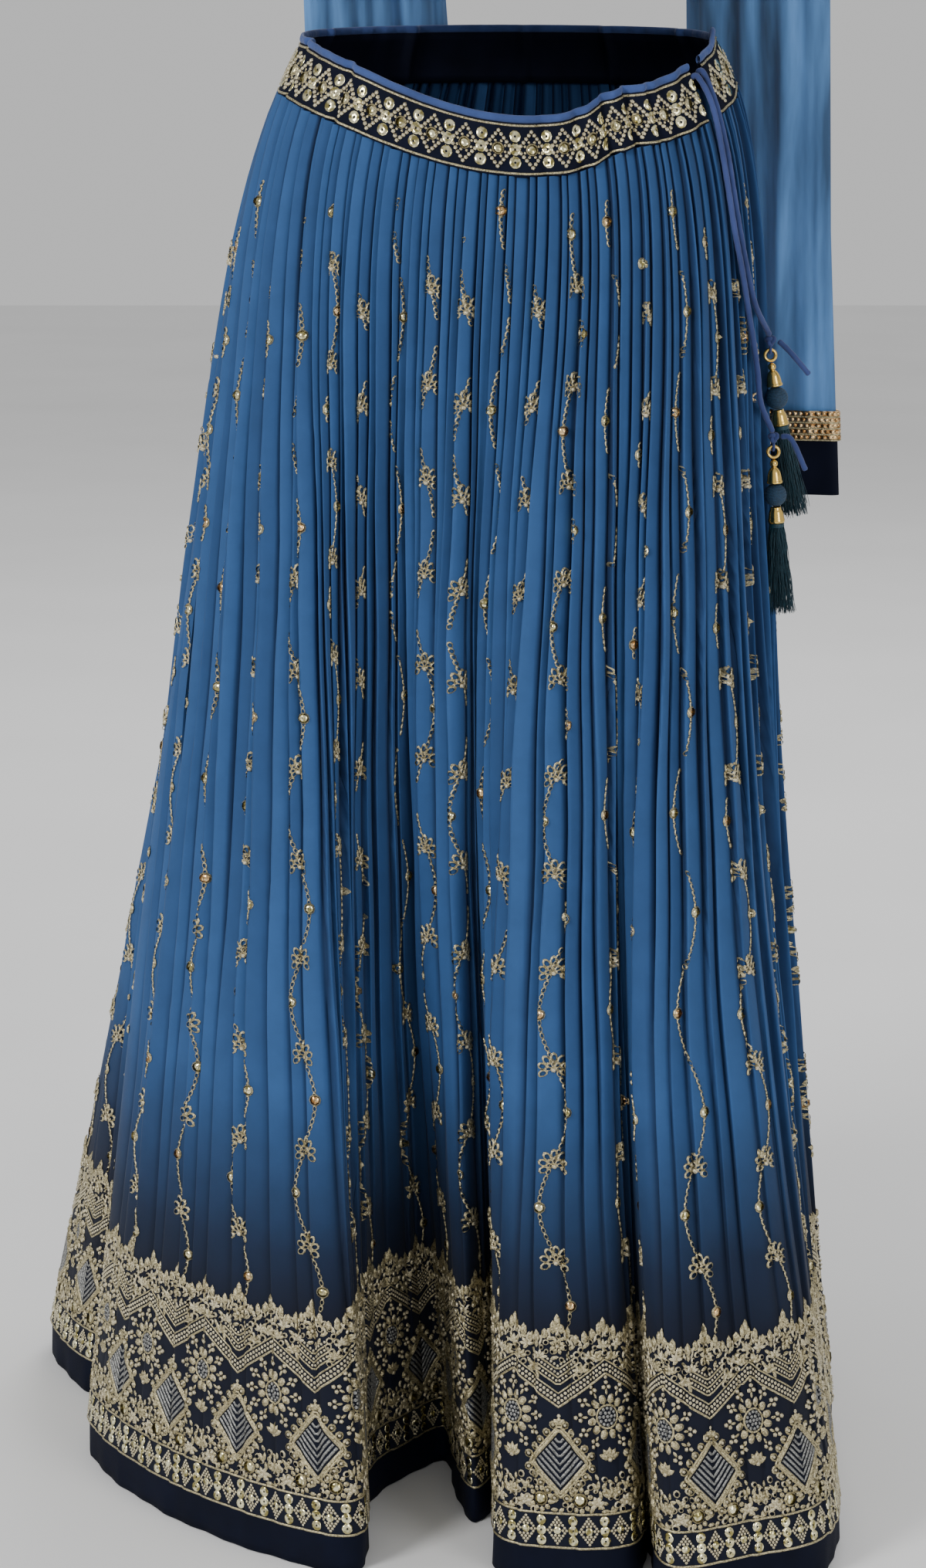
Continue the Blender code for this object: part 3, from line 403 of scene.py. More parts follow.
def band_points(angle, down, shift):
    """Points on the band at each angle and share of its height, moved outwards."""
    half_width = WAIST_HALF_WIDTH + (HIP_HALF_WIDTH - WAIST_HALF_WIDTH) * down
    half_depth = WAIST_HALF_DEPTH + (HIP_HALF_DEPTH - WAIST_HALF_DEPTH) * down
    tucked = shift - band_tuck(angle) + band_gathers(angle)
    xy = ellipse_xy(angle, 1.0, 1.0) * np.stack([half_width + tucked, half_depth + tucked], -1)
    z = band_lift(angle) - BAND_HEIGHT * down
    return np.concatenate([xy, z[..., None]], -1)


class Skirt:
    """The skirt's surface: u goes once round from the back, by way of the left, and v
    goes down from the band to the end of the embroidered cloth."""

    def __init__(self):
        outline = smooth_loop(HEM_OUTLINE, OUTLINE_STEPS)
        self.hem, self.hem_length = even_loop(outline, OUTLINE_SAMPLES)
        self.base = low_waves(self.hem, BASE_WAVES)
        turn = np.linspace(0, 2 * math.pi, OUTLINE_SAMPLES, endpoint=False)
        hips = ellipse_xy(turn, HIP_HALF_WIDTH, HIP_HALF_DEPTH)
        self.hips, self.hip_length = even_loop(hips, OUTLINE_SAMPLES)
        number = np.arange(PLEATS + 1)
        uneven = 0.20 * np.sin(2.399 * number) + 0.12 * np.sin(0.731 * number + 1.0)
        uneven[-1] = uneven[0]
        self.edges = (number + uneven) / PLEATS

    def smooth_xy(self, u, v):
        hips, base, hem = (ring_value(t, u) for t in (self.hips, self.base, self.hem))
        v = np.clip(v, 0, 1)[..., None]
        spring = unit(hips) * HIP_SPRING * (1 - np.exp(-v / 0.06)) * (1 - v) ** 2.2
        sway = np.array([-SIDE_SWAY, 0.0]) * np.sin(math.pi * v)
        return hips + (base - hips) * v + (hem - base) * v**FOLD_GROWTH + spring + sway

    def outward(self, u, v):
        reach = 0.6 / PLEATS
        along = unit(self.smooth_xy(u + reach, v) - self.smooth_xy(u - reach, v))
        return np.stack([along[..., 1], -along[..., 0]], -1)

    def height(self, u, v):
        hips = ring_value(self.hips, u)
        angle = np.arctan2(-hips[..., 0] / HIP_HALF_WIDTH, hips[..., 1] / HIP_HALF_DEPTH)
        top = band_lift(angle) - BAND_HEIGHT - SEAM_GAP
        return top + (HEM_Z + HEM_BAND_HEIGHT - top) * v

    def points(self, u, v, shift, aside=0.0):
        """Points at the fractions u and v, moved outwards by shift and along by aside."""
        out = self.outward(u, v)
        along = np.stack([-out[..., 1], out[..., 0]], -1)
        xy = self.smooth_xy(u, v) + out * np.asarray(shift)[..., None]
        xy = xy + along * np.broadcast_to(aside, u.shape)[..., None]
        return np.concatenate([xy, self.height(u, v)[..., None]], -1)

    def pleat(self, u):
        """The number of the pleat at u, the share of its width up to u, and its width."""
        wrapped = (u - self.edges[0]) % 1.0 + self.edges[0]
        number = np.clip(np.searchsorted(self.edges, wrapped, side="right") - 1, 0, PLEATS - 1)
        start, end = self.edges[number], self.edges[number + 1]
        return number, (wrapped - start) / (end - start), end - start

    def crease(self, u, v):
        """Painted shade for the creases: how deep in a crease a point lies, from 0 on a face to 1,
        less towards the hem.
        """
        u, v = np.broadcast_arrays(np.asarray(u, float), np.asarray(v, float))
        number, share, _ = self.pleat(u + self.drift(u, v))
        near = np.clip(np.maximum(1 - share / 0.10, (share - 0.72) / 0.28), 0, 1)
        # Painted shade on whole pleats, more on some than on others, and more towards each pleat's
        # end
        turned = 0.20 * np.clip(np.sin(2.9 * number + 4.0 * v) + 0.3, 0, 1) + 0.12 * share
        return np.clip(near + turned, 0, 1) * np.interp(v, CREASE_SHADE_DOWN, CREASE_SHADE_SHARE)

    @staticmethod
    def drift(u, v):
        """Slow wandering of the pleats' lines."""
        drift = 0.0011 * np.sin(9 * v + 23 * u) * np.sin(math.pi * np.clip(v, 0, 1))
        fading = np.clip(1.2 - v, 0, 1) * np.clip(4 * v, 0, 1)
        return drift + 0.0006 * np.sin(31 * v + 61 * u) * fading

    def cloth(self, u, v):
        """Points on the pleated cloth itself."""
        u, v = np.broadcast_arrays(np.asarray(u, float), np.asarray(v, float))
        number, share, width = self.pleat(u + self.drift(u, v))
        rise = 1.0 + 0.32 * np.sin(1.7 * number + 0.5)
        rise = rise + 0.26 * np.sin(2.3 * number + 6.5 * v) + 0.14 * np.sin(5.1 * number - 11 * v)
        rise = np.clip(rise, 0.3, None)
        level = np.interp(v, PLEAT_DOWN, np.multiply(PLEAT_HEIGHT, PLEAT_SOFTNESS))
        form = np.interp(share, PLEAT_ACROSS, PLEAT_SHAPE)
        shift = level * PLEAT_GAIN * (rise * form - 0.5) - SKIRT_INSET * np.clip(1 - 8 * v, 0, 1)
        lean = PLEAT_LEAN * form**2 * np.clip(rise, 0, 1.3) * np.interp(v, LEAN_DOWN, LEAN_SHARE)
        size = self.hip_length + (self.hem_length - self.hip_length) * v
        return self.points(u, v, shift + 0.0006, lean * width * size)


SKIRT = Skirt()


def section_value(sections, z, key):
    return np.interp(z, [s["z"] for s in sections], [s[key] for s in sections])


def body_value(z, key):
    return section_value(BODY_SECTIONS, z, key)


def shoulder_height(x):
    share = (np.abs(x) - NECK_HALF_WIDTH) / (SHOULDER_HALF_WIDTH - NECK_HALF_WIDTH)
    return NECK_POINT_Z - (NECK_POINT_Z - SHOULDER_TIP_Z) * np.clip(share, 0, 1)


def blouse_point(angle, z, side, shift):
    """A point of the blouse's front or back panel, at an angle from the panel's middle,
    moved outwards. The panel turns over the shoulder, where front and back meet."""
    half_width = body_value(z, "half_width")
    x = half_width * np.sin(angle)
    over = np.clip((z - CAP_START_Z) / (shoulder_height(x) - CAP_START_Z), 0, 1)
    depth = body_value(z, side) * np.sqrt(np.clip(1 - over**2.4, 0, 1))
    y = depth * np.cos(angle)
    if side == "front":
        for sign in (-1, 1):
            across = (x - sign * CUP["x"]) / CUP["half_width"]
            up = (z - CUP["z"]) / CUP["half_height"]
            y = y + CUP["depth"] * np.exp(-(across**2) - up**2)
    flat = np.sqrt(np.clip(1 - over**4, 0, 1))
    x = x + shift * np.sin(angle) * flat
    y = y + shift * np.cos(angle) * flat
    z = z + shift * (1 - flat)
    y = y + SEAM_GAP
    return np.stack([x, -y if side == "front" else y, z], -1)


def blouse_top(angle, side):
    """Height of a panel's upper edge: neckline, shoulder seam, then armhole."""
    turn = np.abs(angle)
    drop = FRONT_NECK_DROP if side == "front" else BACK_NECK_DROP
    neck = NECK_POINT_Z - drop * np.sqrt(np.clip(1 - (turn / NECK_ANGLE) ** 2, 0, 1))
    along = np.clip((turn - NECK_ANGLE) / (TIP_ANGLE - NECK_ANGLE), 0, 1)
    seam = NECK_POINT_Z - (NECK_POINT_Z - SHOULDER_TIP_Z) * along
    share = np.clip((turn - TIP_ANGLE) / (SIDE_ANGLE - TIP_ANGLE), 0, 1)
    armhole = SHOULDER_TIP_Z - (SHOULDER_TIP_Z - UNDERARM_Z) * share**0.8
    return np.where(turn < NECK_ANGLE, neck, np.where(turn <= TIP_ANGLE, seam, armhole))


def armhole_ring(turns):
    """The right armhole's edge: turns go from the shoulder tip down the front to the
    underarm, and up the back."""
    ring = []
    for turn in turns:
        share = turn / math.pi if turn <= math.pi else 2 - turn / math.pi
        side = "front" if turn <= math.pi else "back"
        angle = TIP_ANGLE + (SIDE_ANGLE - TIP_ANGLE) * share
        z = float(blouse_top(np.array(angle), side))
        ring.append(blouse_point(np.array(angle), np.array(z), side, ARMHOLE_CLEAR))
    ring = np.array(ring)
    ring[:, 0] += SEAM_GAP
    return ring


def sleeve_value(side, z, key):
    return section_value(SLEEVE_SECTIONS[side][::-1], z, key)


def sleeve_section(side, turns, z, shift):
    """Points on the hanging sleeve at the heights z: turn 0 is its outer edge, pi its
    inner edge, and its folds are deepest between the two."""
    mirror = 1 if side == "right" else -1
    wide = sleeve_value(side, z, "wide") + shift
    ripple = SLEEVE_FOLD_DEPTH * np.cos(SLEEVE_FOLDS * turns + 0.6) * np.abs(np.sin(turns))
    settled = np.clip((0.20 - z) / 0.12, 0, 1)
    loose = np.clip((z - SLEEVE_END_Z) / 0.07, 0, 1) * np.abs(np.sin(turns))
    for count, depth, bend, start in SLEEVE_WRINKLES:
        wave = count * turns + start + bend * np.sin(9 * z + start)
        ripple = ripple + depth * loose * np.sin(wave)
    deep = sleeve_value(side, z, "deep") + shift + ripple * settled
    across, ahead = wide * np.cos(turns) * mirror, -deep * np.sin(turns)
    lean = np.radians(sleeve_value(side, z, "turn"))
    x = sleeve_value(side, z, "x") + across * np.cos(lean) + ahead * np.sin(lean)
    y = sleeve_value(side, z, "y") - across * np.sin(lean) + ahead * np.cos(lean)
    return np.stack([x, y, z], -1)


def sleeve_grid(side, turns, downs):
    """Points from the armhole, down 0, to the sleeve's end, down 1."""
    start = armhole_ring(turns) * np.array([1 if side == "right" else -1, 1, 1])
    rows = []
    for down in downs:
        z = start[:, 2] + (SLEEVE_END_Z - start[:, 2]) * down
        hung = sleeve_section(side, turns, z, 0.0)
        share = np.clip((start[:, 2] - z) / HEAD_DROP, 0, 1)[:, None]
        rows.append(np.column_stack([(start * (1 - share) + hung * share)[:, :2], z]))
    return np.array(rows)


def route_curve(points, step):
    """A smooth curve through a route's points, read at even steps."""
    points = np.asarray(points, float)
    ends = np.vstack([2 * points[0] - points[1], points, 2 * points[-1] - points[-2]])
    curve = []
    for k in range(len(points) - 1):
        curve += [catmull_rom(*ends[k : k + 4], t) for t in np.arange(24) / 24]
    curve = np.array(curve + [points[-1]])
    along = way_along(curve)
    return read_path(curve, along, np.linspace(0, along[-1], max(3, round(along[-1] / step) + 1)))


def cord_route(key):
    """The cord from the slit, over the band and down the tops of the pleats."""
    points = []
    for degrees, (down, out) in zip(CORD_ANGLES[key], CORD_OVER_BAND):
        points.append(band_points(np.array(math.radians(degrees)), np.array(down), out + BAND_WALL))
    for u, v in CORD_ROUTES[key]:
        ridge = CORD_ON_PLEATS * np.interp(v, PLEAT_DOWN, PLEAT_HEIGHT)
        out = ridge + 0.001 + CORD_DIAMETER / 2 + CORD_LIFT
        points.append(SKIRT.points(np.array(u), np.array(v), out))
    return np.array(points)


def knot_middle(key):
    place = TASSELS[key]
    up = RING_RADIUS + RING_WIRE + 0.0013 + KNOT_RADIUS - 0.0002
    return np.array([place["x"], place["y"], place["z"] + up])


def new_mesh(name, verts, faces, mats, tags=None):
    """A mesh object from arrays. tags gives each face's material number."""
    mesh = bpy.data.meshes.new(name)
    mesh.from_pydata(np.asarray(verts).reshape(-1, 3).tolist(), [], [tuple(f) for f in faces])
    for mat in mats:
        mesh.materials.append(mat)
    if tags is not None:
        mesh.polygons.foreach_set("material_index", np.asarray(tags, np.int32))
    mesh.polygons.foreach_set("use_smooth", np.full(len(mesh.polygons), True))
    mesh.update()
    obj = bpy.data.objects.new(name, mesh)
    bpy.context.scene.collection.objects.link(obj)
    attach(obj, "root")
    return obj


def grid_faces(rows, cols, closed=False, first=0):
    """Faces between the points of a grid, rows from the top down."""
    r, c = np.meshgrid(np.arange(rows - 1), np.arange(cols if closed else cols - 1), indexing="ij")
    a, b = r * cols + c, r * cols + (c + 1) % cols
    return np.stack([a, a + cols, b + cols, b], -1).reshape(-1, 4) + first


def shell(name, grid, mats, closed=False):
    """A single layer of cloth from a grid of points."""
    rows, cols = grid.shape[:2]
    return new_mesh(name, grid, grid_faces(rows, cols, closed), mats)


def wall(name, outer, inner, mats, closed=False):
    """A cloth wall with rounded free edges, from two grids of points."""
    cols = outer.shape[1]
    edge_top = (outer[0] + inner[0]) / 2 + (outer[0] - outer[1]) * 0.02
    edge_low = (outer[-1] + inner[-1]) / 2 + (outer[-1] - outer[-2]) * 0.02
    loop = np.concatenate([outer, edge_low[None], inner[::-1], edge_top[None], outer[:1]])
    return new_mesh(name, loop, grid_faces(len(loop), cols, closed), mats)


def nodes_of(mat):
    return mat.node_tree.nodes, mat.node_tree.links, mat.node_tree.nodes["Principled BSDF"]


def new_material(name, color, roughness, metallic=0.0, sheen=0.0, alpha=1.0):
    mat = bpy.data.materials.new(name)
    mat.use_nodes = True
    shader = mat.node_tree.nodes["Principled BSDF"]
    for key, value in (("Base Color", (*color, 1.0)), ("Roughness", roughness),
                       ("Metallic", metallic), ("Sheen Weight", sheen), ("Alpha", alpha)):
        shader.inputs[key].default_value = value
    return mat


def texture(mat, kind, scale, **values):
    """A procedural texture on the object's own coordinates."""
    nodes, links, _ = nodes_of(mat)
    place = nodes.get("Texture Coordinate") or nodes.new("ShaderNodeTexCoord")
    node = nodes.new(kind)
    node.inputs["Scale"].default_value = scale
    for key, value in values.items():
        if key in node.inputs:
            node.inputs[key].default_value = value
        else:
            setattr(node, key, value)
    links.new(place.outputs["Object"], node.inputs["Vector"])
    return node


def math_node(mat, operation, first, second):
    """first and second are sockets or numbers."""
    nodes, links, _ = nodes_of(mat)
    node = nodes.new("ShaderNodeMath")
    node.operation = operation
    for socket, value in zip(node.inputs, (first, second)):
        if isinstance(value, (int, float)):
            socket.default_value = value
        else:
            links.new(value, socket)
    return node.outputs[0]


def ramp(mat, source, stops):
    """A colour ramp from (place, colour) stops; colours are linear."""
    nodes, links, _ = nodes_of(mat)
    node = nodes.new("ShaderNodeValToRGB")
    elements = node.color_ramp.elements
    while len(elements) < len(stops):
        elements.new(0.5)
    for element, (place, color) in zip(elements, stops):
        element.position = place
        element.color = (*color, 1.0)
    links.new(source, node.inputs["Fac"])
    return node.outputs["Color"]


def spread(mat, node, stops, into="Base Color"):
    """Feeds a texture through a ramp into one of the shader's inputs."""
    _, links, shader = nodes_of(mat)
    links.new(ramp(mat, node.outputs["Fac"], stops), shader.inputs[into])


def grey(value):
    return (value, value, value)


def shades(color, *shares):
    return [tuple(c * share for c in color) for share in shares]


def mix_color(mat, blend, factor, first, second):
    nodes, links, _ = nodes_of(mat)
    node = nodes.new("ShaderNodeMix")
    node.data_type = "RGBA"
    node.blend_type = blend
    node.inputs["Factor"].default_value = factor
    for socket, value in ((node.inputs[6], first), (node.inputs[7], second)):
        if isinstance(value, tuple):
            socket.default_value = (*value, 1.0)
        else:
            links.new(value, socket)
    return node.outputs[2]


def add_bump(mat, source, strength, distance):
    nodes, links, shader = nodes_of(mat)
    node = nodes.new("ShaderNodeBump")
    node.inputs["Strength"].default_value = strength
    node.inputs["Distance"].default_value = distance
    links.new(source, node.inputs["Height"])
    if shader.inputs["Normal"].is_linked:
        links.new(shader.inputs["Normal"].links[0].from_socket, node.inputs["Normal"])
    links.new(node.outputs["Normal"], shader.inputs["Normal"])


def weave(mat, scale):
    """Crepe yarns: two crossed sets of threads, uneven, too fine to see one by one."""
    grain = texture(mat, "ShaderNodeTexNoise", scale, Detail=4.0, Roughness=0.7)
    threads = texture(mat, "ShaderNodeTexWave", scale * 0.8, wave_type="BANDS",
                      bands_direction="Z", Distortion=2.0, Detail=1.0)
    faint = math_node(mat, "MULTIPLY", threads.outputs["Fac"], 0.5)
    add_bump(mat, math_node(mat, "ADD", grain.outputs["Fac"], faint), 0.25, 0.0004)


def skirt_material():
    """Blue georgette, dip-dyed to navy towards the hem, with the dye's soft uneven edge, and
    painted shade darkening its creases.
    """
    mat = new_material("skirt_georgette", SKIRT_BLUE, 0.74, sheen=0.04)
    nodes, links, shader = nodes_of(mat)
    shader.inputs["Sheen Roughness"].default_value = 0.5
    shader.inputs["Specular IOR Level"].default_value = 0.22
    cloud = texture(mat, "ShaderNodeTexNoise", 9.0, Detail=3.0)
    parts = nodes.new("ShaderNodeSeparateXYZ")
    links.new(nodes["Texture Coordinate"].outputs["Object"], parts.inputs["Vector"])
    soft = math_node(mat, "MULTIPLY", math_node(mat, "SUBTRACT", cloud.outputs["Fac"], 0.5), 0.045)
    level = math_node(mat, "ADD", parts.outputs["Z"], soft)
    fallen = math_node(mat, "SUBTRACT", DYE_START_Z, level)
    down = math_node(mat, "DIVIDE", fallen, DYE_START_Z - DYE_END_Z)
    dye = ramp(mat, down, ((0.0, SKIRT_BLUE), (0.35, SKIRT_DEEP), (0.72, SKIRT_DUSK), (1.0, NAVY)))
    tone = texture(mat, "ShaderNodeTexNoise", 34.0, Detail=5.0, Roughness=0.65)
    shade = ramp(mat, tone.outputs["Fac"], ((0.3, grey(0.86)), (0.7, grey(1.08))))
    toned = mix_color(mat, "MULTIPLY", 0.8, dye, shade)
    # Painted shade: the crease attribute darkens the colour in the creases and lightens the open
    # faces a little
    fold = nodes.new("ShaderNodeAttribute")
    fold.attribute_name = "crease"
    depth = ramp(mat, fold.outputs["Fac"],
                 ((0.0, grey(1.06)), (0.5, (0.44, 0.48, 0.53)), (1.0, CREASE_SHADE)))
    links.new(mix_color(mat, "MULTIPLY", 1.0, toned, depth), shader.inputs["Base Color"])
    weave(mat, 2600.0)
    crease = texture(mat, "ShaderNodeTexNoise", 55.0, Detail=2.0)
    add_bump(mat, crease.outputs["Fac"], 0.16, 0.003)
    return mat


def cloth_material(name, color, scale=1800.0, sheen=0.1):
    """Plain cloth with its weave and small changes of tone."""
    mat = new_material(name, color, 0.8, sheen=sheen)
    nodes_of(mat)[2].inputs["Specular IOR Level"].default_value = 0.14
    tone = texture(mat, "ShaderNodeTexNoise", 42.0, Detail=5.0)
    low, high = shades(color, 0.78, 1.22)
    spread(mat, tone, ((0.3, low), (0.7, high)))
    weave(mat, scale)
    return mat


def sheer_material():
    """Thin crinkled georgette, with soft streaks of painted highlight and painted shade down the
    sleeve.
    """
    mat = new_material("sheer_georgette", SHEER_BLUE, 0.85, sheen=0.1, alpha=0.86)
    nodes, links, shader = nodes_of(mat)
    shader.inputs["Specular IOR Level"].default_value = 0.14
    painted_light_streaks = texture(mat, "ShaderNodeTexNoise", 42.0, Detail=4.0)
    stretch = nodes.new("ShaderNodeMapping")
    stretch.inputs["Scale"].default_value = SHEER_STRETCH
    links.new(nodes["Texture Coordinate"].outputs["Object"], stretch.inputs["Vector"])
    links.new(stretch.outputs["Vector"], painted_light_streaks.inputs["Vector"])
    # Painted highlight and painted shade: the streaks lighten and darken the sleeve's colour; they
    # also feed its bump
    low, high = shades(SHEER_BLUE, 0.48, 2.0)
    spread(mat, painted_light_streaks, ((0.32, low), (0.68, high)))
    add_bump(mat, painted_light_streaks.outputs["Fac"], 0.5, 0.004)
    weave(mat, 1800.0)
    return mat


def thread_material(name, dark, light, roughness=0.36, scale=900.0):
    """Metallic thread with painted glints: its colour turns light and dark from point to point."""
    mat = new_material(name, light, roughness, 0.75)
    painted_glint = texture(mat, "ShaderNodeTexNoise", scale, Detail=3.0, Roughness=0.8)
    # Painted glints: the noise lightens and darkens the thread's colour; it also varies roughness
    # and bump
    spread(mat, painted_glint, ((0.36, dark), (0.62, light)))
    spread(mat, painted_glint, ((0.3, grey(0.55)), (0.7, grey(0.25))), "Roughness")
    add_bump(mat, painted_glint.outputs["Fac"], 0.6, 0.0006)
    return mat


def mirror_material(name, dark, light, roughness=0.14):
    """Foil sequins and mirrors with painted reflections: each one's colour turns light or dark its
    own way.
    """
    mat = new_material(name, light, roughness, 1.0)
    tilt = texture(mat, "ShaderNodeTexNoise", 260.0, Detail=1.0)
    # Painted reflections: the noise lightens and darkens the foil's colour, and also feeds its bump
    spread(mat, tilt, ((0.38, dark), (0.60, light)))
    add_bump(mat, tilt.outputs["Fac"], 0.35, 0.0012)
    return mat


def metal_material(name, color, roughness):
    """Plated brass with a little unevenness in its polish."""
    mat = new_material(name, color, roughness, 1.0)
    worn = texture(mat, "ShaderNodeTexNoise", 700.0, Detail=2.0)
    spread(mat, worn, ((0.35, grey(roughness * 0.7)), (0.65, grey(roughness * 1.5))), "Roughness")
    add_bump(mat, worn.outputs["Fac"], 0.05, 0.0003)
    return mat


def yarn_material(name, color, roughness=0.7):
    """Spun or plied thread with light and dark fibres."""
    mat = new_material(name, color, roughness, sheen=0.02)
    fibres = texture(mat, "ShaderNodeTexNoise", 1400.0, Detail=3.0)
    low, high = shades(color, 0.55, 1.5)
    spread(mat, fibres, ((0.35, low), (0.65, high)))
    add_bump(mat, fibres.outputs["Fac"], 0.35, 0.0004)
    return mat


MATS = {
    "skirt": skirt_material(),
    "navy": cloth_material("navy_crepe", (0.0024, 0.0042, 0.0145), sheen=0.0),
    "binding": cloth_material("binding_crepe", (0.045, 0.080, 0.230), sheen=0.2),
    "sheer": sheer_material(),
    # Threads, beads and foils: each goes from its first, dark colour to its second, light one in
    # painted glints and reflections
    "gold": thread_material("gold_thread", (0.085, 0.070, 0.032), (0.74, 0.65, 0.40)),
    "silver": thread_material("silver_thread", (0.06, 0.062, 0.065), (0.44, 0.44, 0.42)),
    "bead": thread_material("champagne_beads", (0.20, 0.165, 0.085), (0.97, 0.88, 0.63),
                            roughness=0.2, scale=1500.0),
    "mirror": mirror_material("foil_mirror", (0.34, 0.29, 0.11), (0.98, 0.92, 0.60)),
    "copper": mirror_material("copper_sequin", (0.36, 0.18, 0.06), (0.95, 0.68, 0.36), 0.22),
    "cord": cloth_material("cord_cloth", (0.042, 0.063, 0.185), scale=1600.0, sheen=0.2),
    "brass": metal_material("brass", (0.82, 0.56, 0.16), 0.16),
    "thread": yarn_material("tassel_thread", (0.0020, 0.0360, 0.0560), roughness=0.5),
    "ball": yarn_material("wound_ball", (0.0080, 0.0360, 0.0760)),
}


def make_camera():
    data = bpy.data.cameras.new("camera")
    data.lens = CAMERA_LENS
    data.sensor_width = 36.0
    data.sensor_fit = "AUTO"
    camera = bpy.data.objects.new("camera", data)
    camera.location = CAMERA_PLACE
    camera.rotation_euler = (CAMERA_TILT, 0, 0)
    bpy.context.scene.collection.objects.link(camera)
    bpy.context.scene.camera = camera


def add_light(name, place, target, size, power):
    data = bpy.data.lights.new(name, "AREA")
    data.shape = "RECTANGLE"
    data.size, data.size_y = size
    data.energy = power
    light = bpy.data.objects.new(name, data)
    light.location = place
    aim = np.array(target, float) - np.array(place, float)
    tilt = math.atan2(math.hypot(aim[0], aim[1]), -aim[2])
    light.rotation_euler = (tilt, 0, math.atan2(-aim[0], aim[1]))
    bpy.context.scene.collection.objects.link(light)


def make_studio():
    world = bpy.data.worlds.new("studio")
    bpy.context.scene.world = world
    world.use_nodes = True
    world.node_tree.nodes["Background"].inputs["Color"].default_value = (1.0, 1.0, 1.0, 1.0)
    world.node_tree.nodes["Background"].inputs["Strength"].default_value = 0.62
    add_light("key", (-2.3, -2.2, 1.3), (0, 0, -0.45), (0.9, 1.3), 72)
    add_light("fill", (2.0, -2.6, 0.6), (0, 0, -0.5), (1.2, 1.8), 30)
    add_light("back", (0.6, 2.6, 1.8), (0, 0, -0.4), (1.6, 1.4), 50)
    half = FLOOR_SIZE / 2
    mesh = bpy.data.meshes.new("floor")
    mesh.from_pydata([(-half, -half, FLOOR_Z), (half, -half, FLOOR_Z), (half, half, FLOOR_Z),
                      (-half, half, FLOOR_Z)], [], [(0, 1, 2, 3)])
    floor = bpy.data.objects.new("floor", mesh)
    mat = new_material("floor_paint", grey(0.82), 0.9)
    stain = texture(mat, "ShaderNodeTexNoise", 3.0, Detail=2.0)
    spread(mat, stain, ((0.3, grey(0.80)), (0.7, grey(0.84))))
    mesh.materials.append(mat)
    bpy.context.scene.collection.objects.link(floor)


def frames_along(path):
    """Two directions across a path at each of its points, carried along without twist."""
    ahead = unit(np.gradient(path, axis=0))
    side = np.cross(ahead[0], (0.3, 0.2, 1.0))
    sides = []
    for way in ahead:
        side = unit(side - way * (side @ way))
        sides.append(side)
    sides = np.array(sides)
    return sides, np.cross(ahead, sides)


def tube_parts(path, radius, sides):
    """Points and faces of a closed tube; radius may change along the path."""
    first, second = frames_along(path)
    turn = circle(sides)[None, :, None]
    size = np.broadcast_to(radius, len(path))[:, None, None]
    ring = np.cos(turn) * first[:, None] + np.sin(turn) * second[:, None]
    points = (path[:, None] + ring * size).reshape(-1, 3)
    count = len(path)
    faces = [tuple(f) for f in grid_faces(count, sides, True)]
    points = np.vstack([points, path[0], path[-1]])
    for k in range(sides):
        faces.append((count * sides, k, (k + 1) % sides))
        last = (count - 1) * sides
        faces.append((count * sides + 1, last + (k + 1) % sides, last + k))
    return points, faces


def make_cord(name, path, radius):
    """A rolled cloth cord, a little uneven, with rounded ends."""
    along = way_along(path)
    bumpy = 1 + 0.035 * np.sin(along * 900 + 1.5 * np.sin(along * 160))
    bumpy = bumpy + 0.02 * np.sin(along * 410 + 1)
    ends = np.clip(np.minimum(along, along[-1] - along) / (0.6 * radius) + 0.45, 0, 1) ** 0.5
    points, faces = tube_parts(path, radius * bumpy * ends, CORD_SIDES)
    return new_mesh(name, points, faces, [MATS["cord"]])


def turned(name, profile, place):
    """A brass shape turned round its own upright line, from (radius, height) rows."""
    turn = circle(BRASS_SIDES)
    points = np.array([around(r, turn, h) for r, h in profile]).reshape(-1, 3)
    faces = grid_faces(len(profile), BRASS_SIDES, True)
    return new_mesh(name, place(points), faces, [MATS["brass"]])


def leaning(key):
    """Moves points from a tassel's own frame, its ring's middle at zero, to where it hangs."""
    spot = TASSELS[key]
    lean = -math.radians(spot["lean"])
    cos, sin = math.cos(lean), math.sin(lean)

    def place(points):
        x, y, z = points.T
        across, up = x * cos + z * sin, -x * sin + z * cos
        return np.stack([across + spot["x"], y + spot["y"], up + spot["z"]], 1)

    return place


def ball_rows(radius, steps, top):
    """(radius, height) rows of a ball from its top down."""
    turns = np.linspace(0, math.pi, steps + 1)
    return [(max(radius * math.sin(t), 0.00002), top - radius + radius * math.cos(t))
            for t in turns]


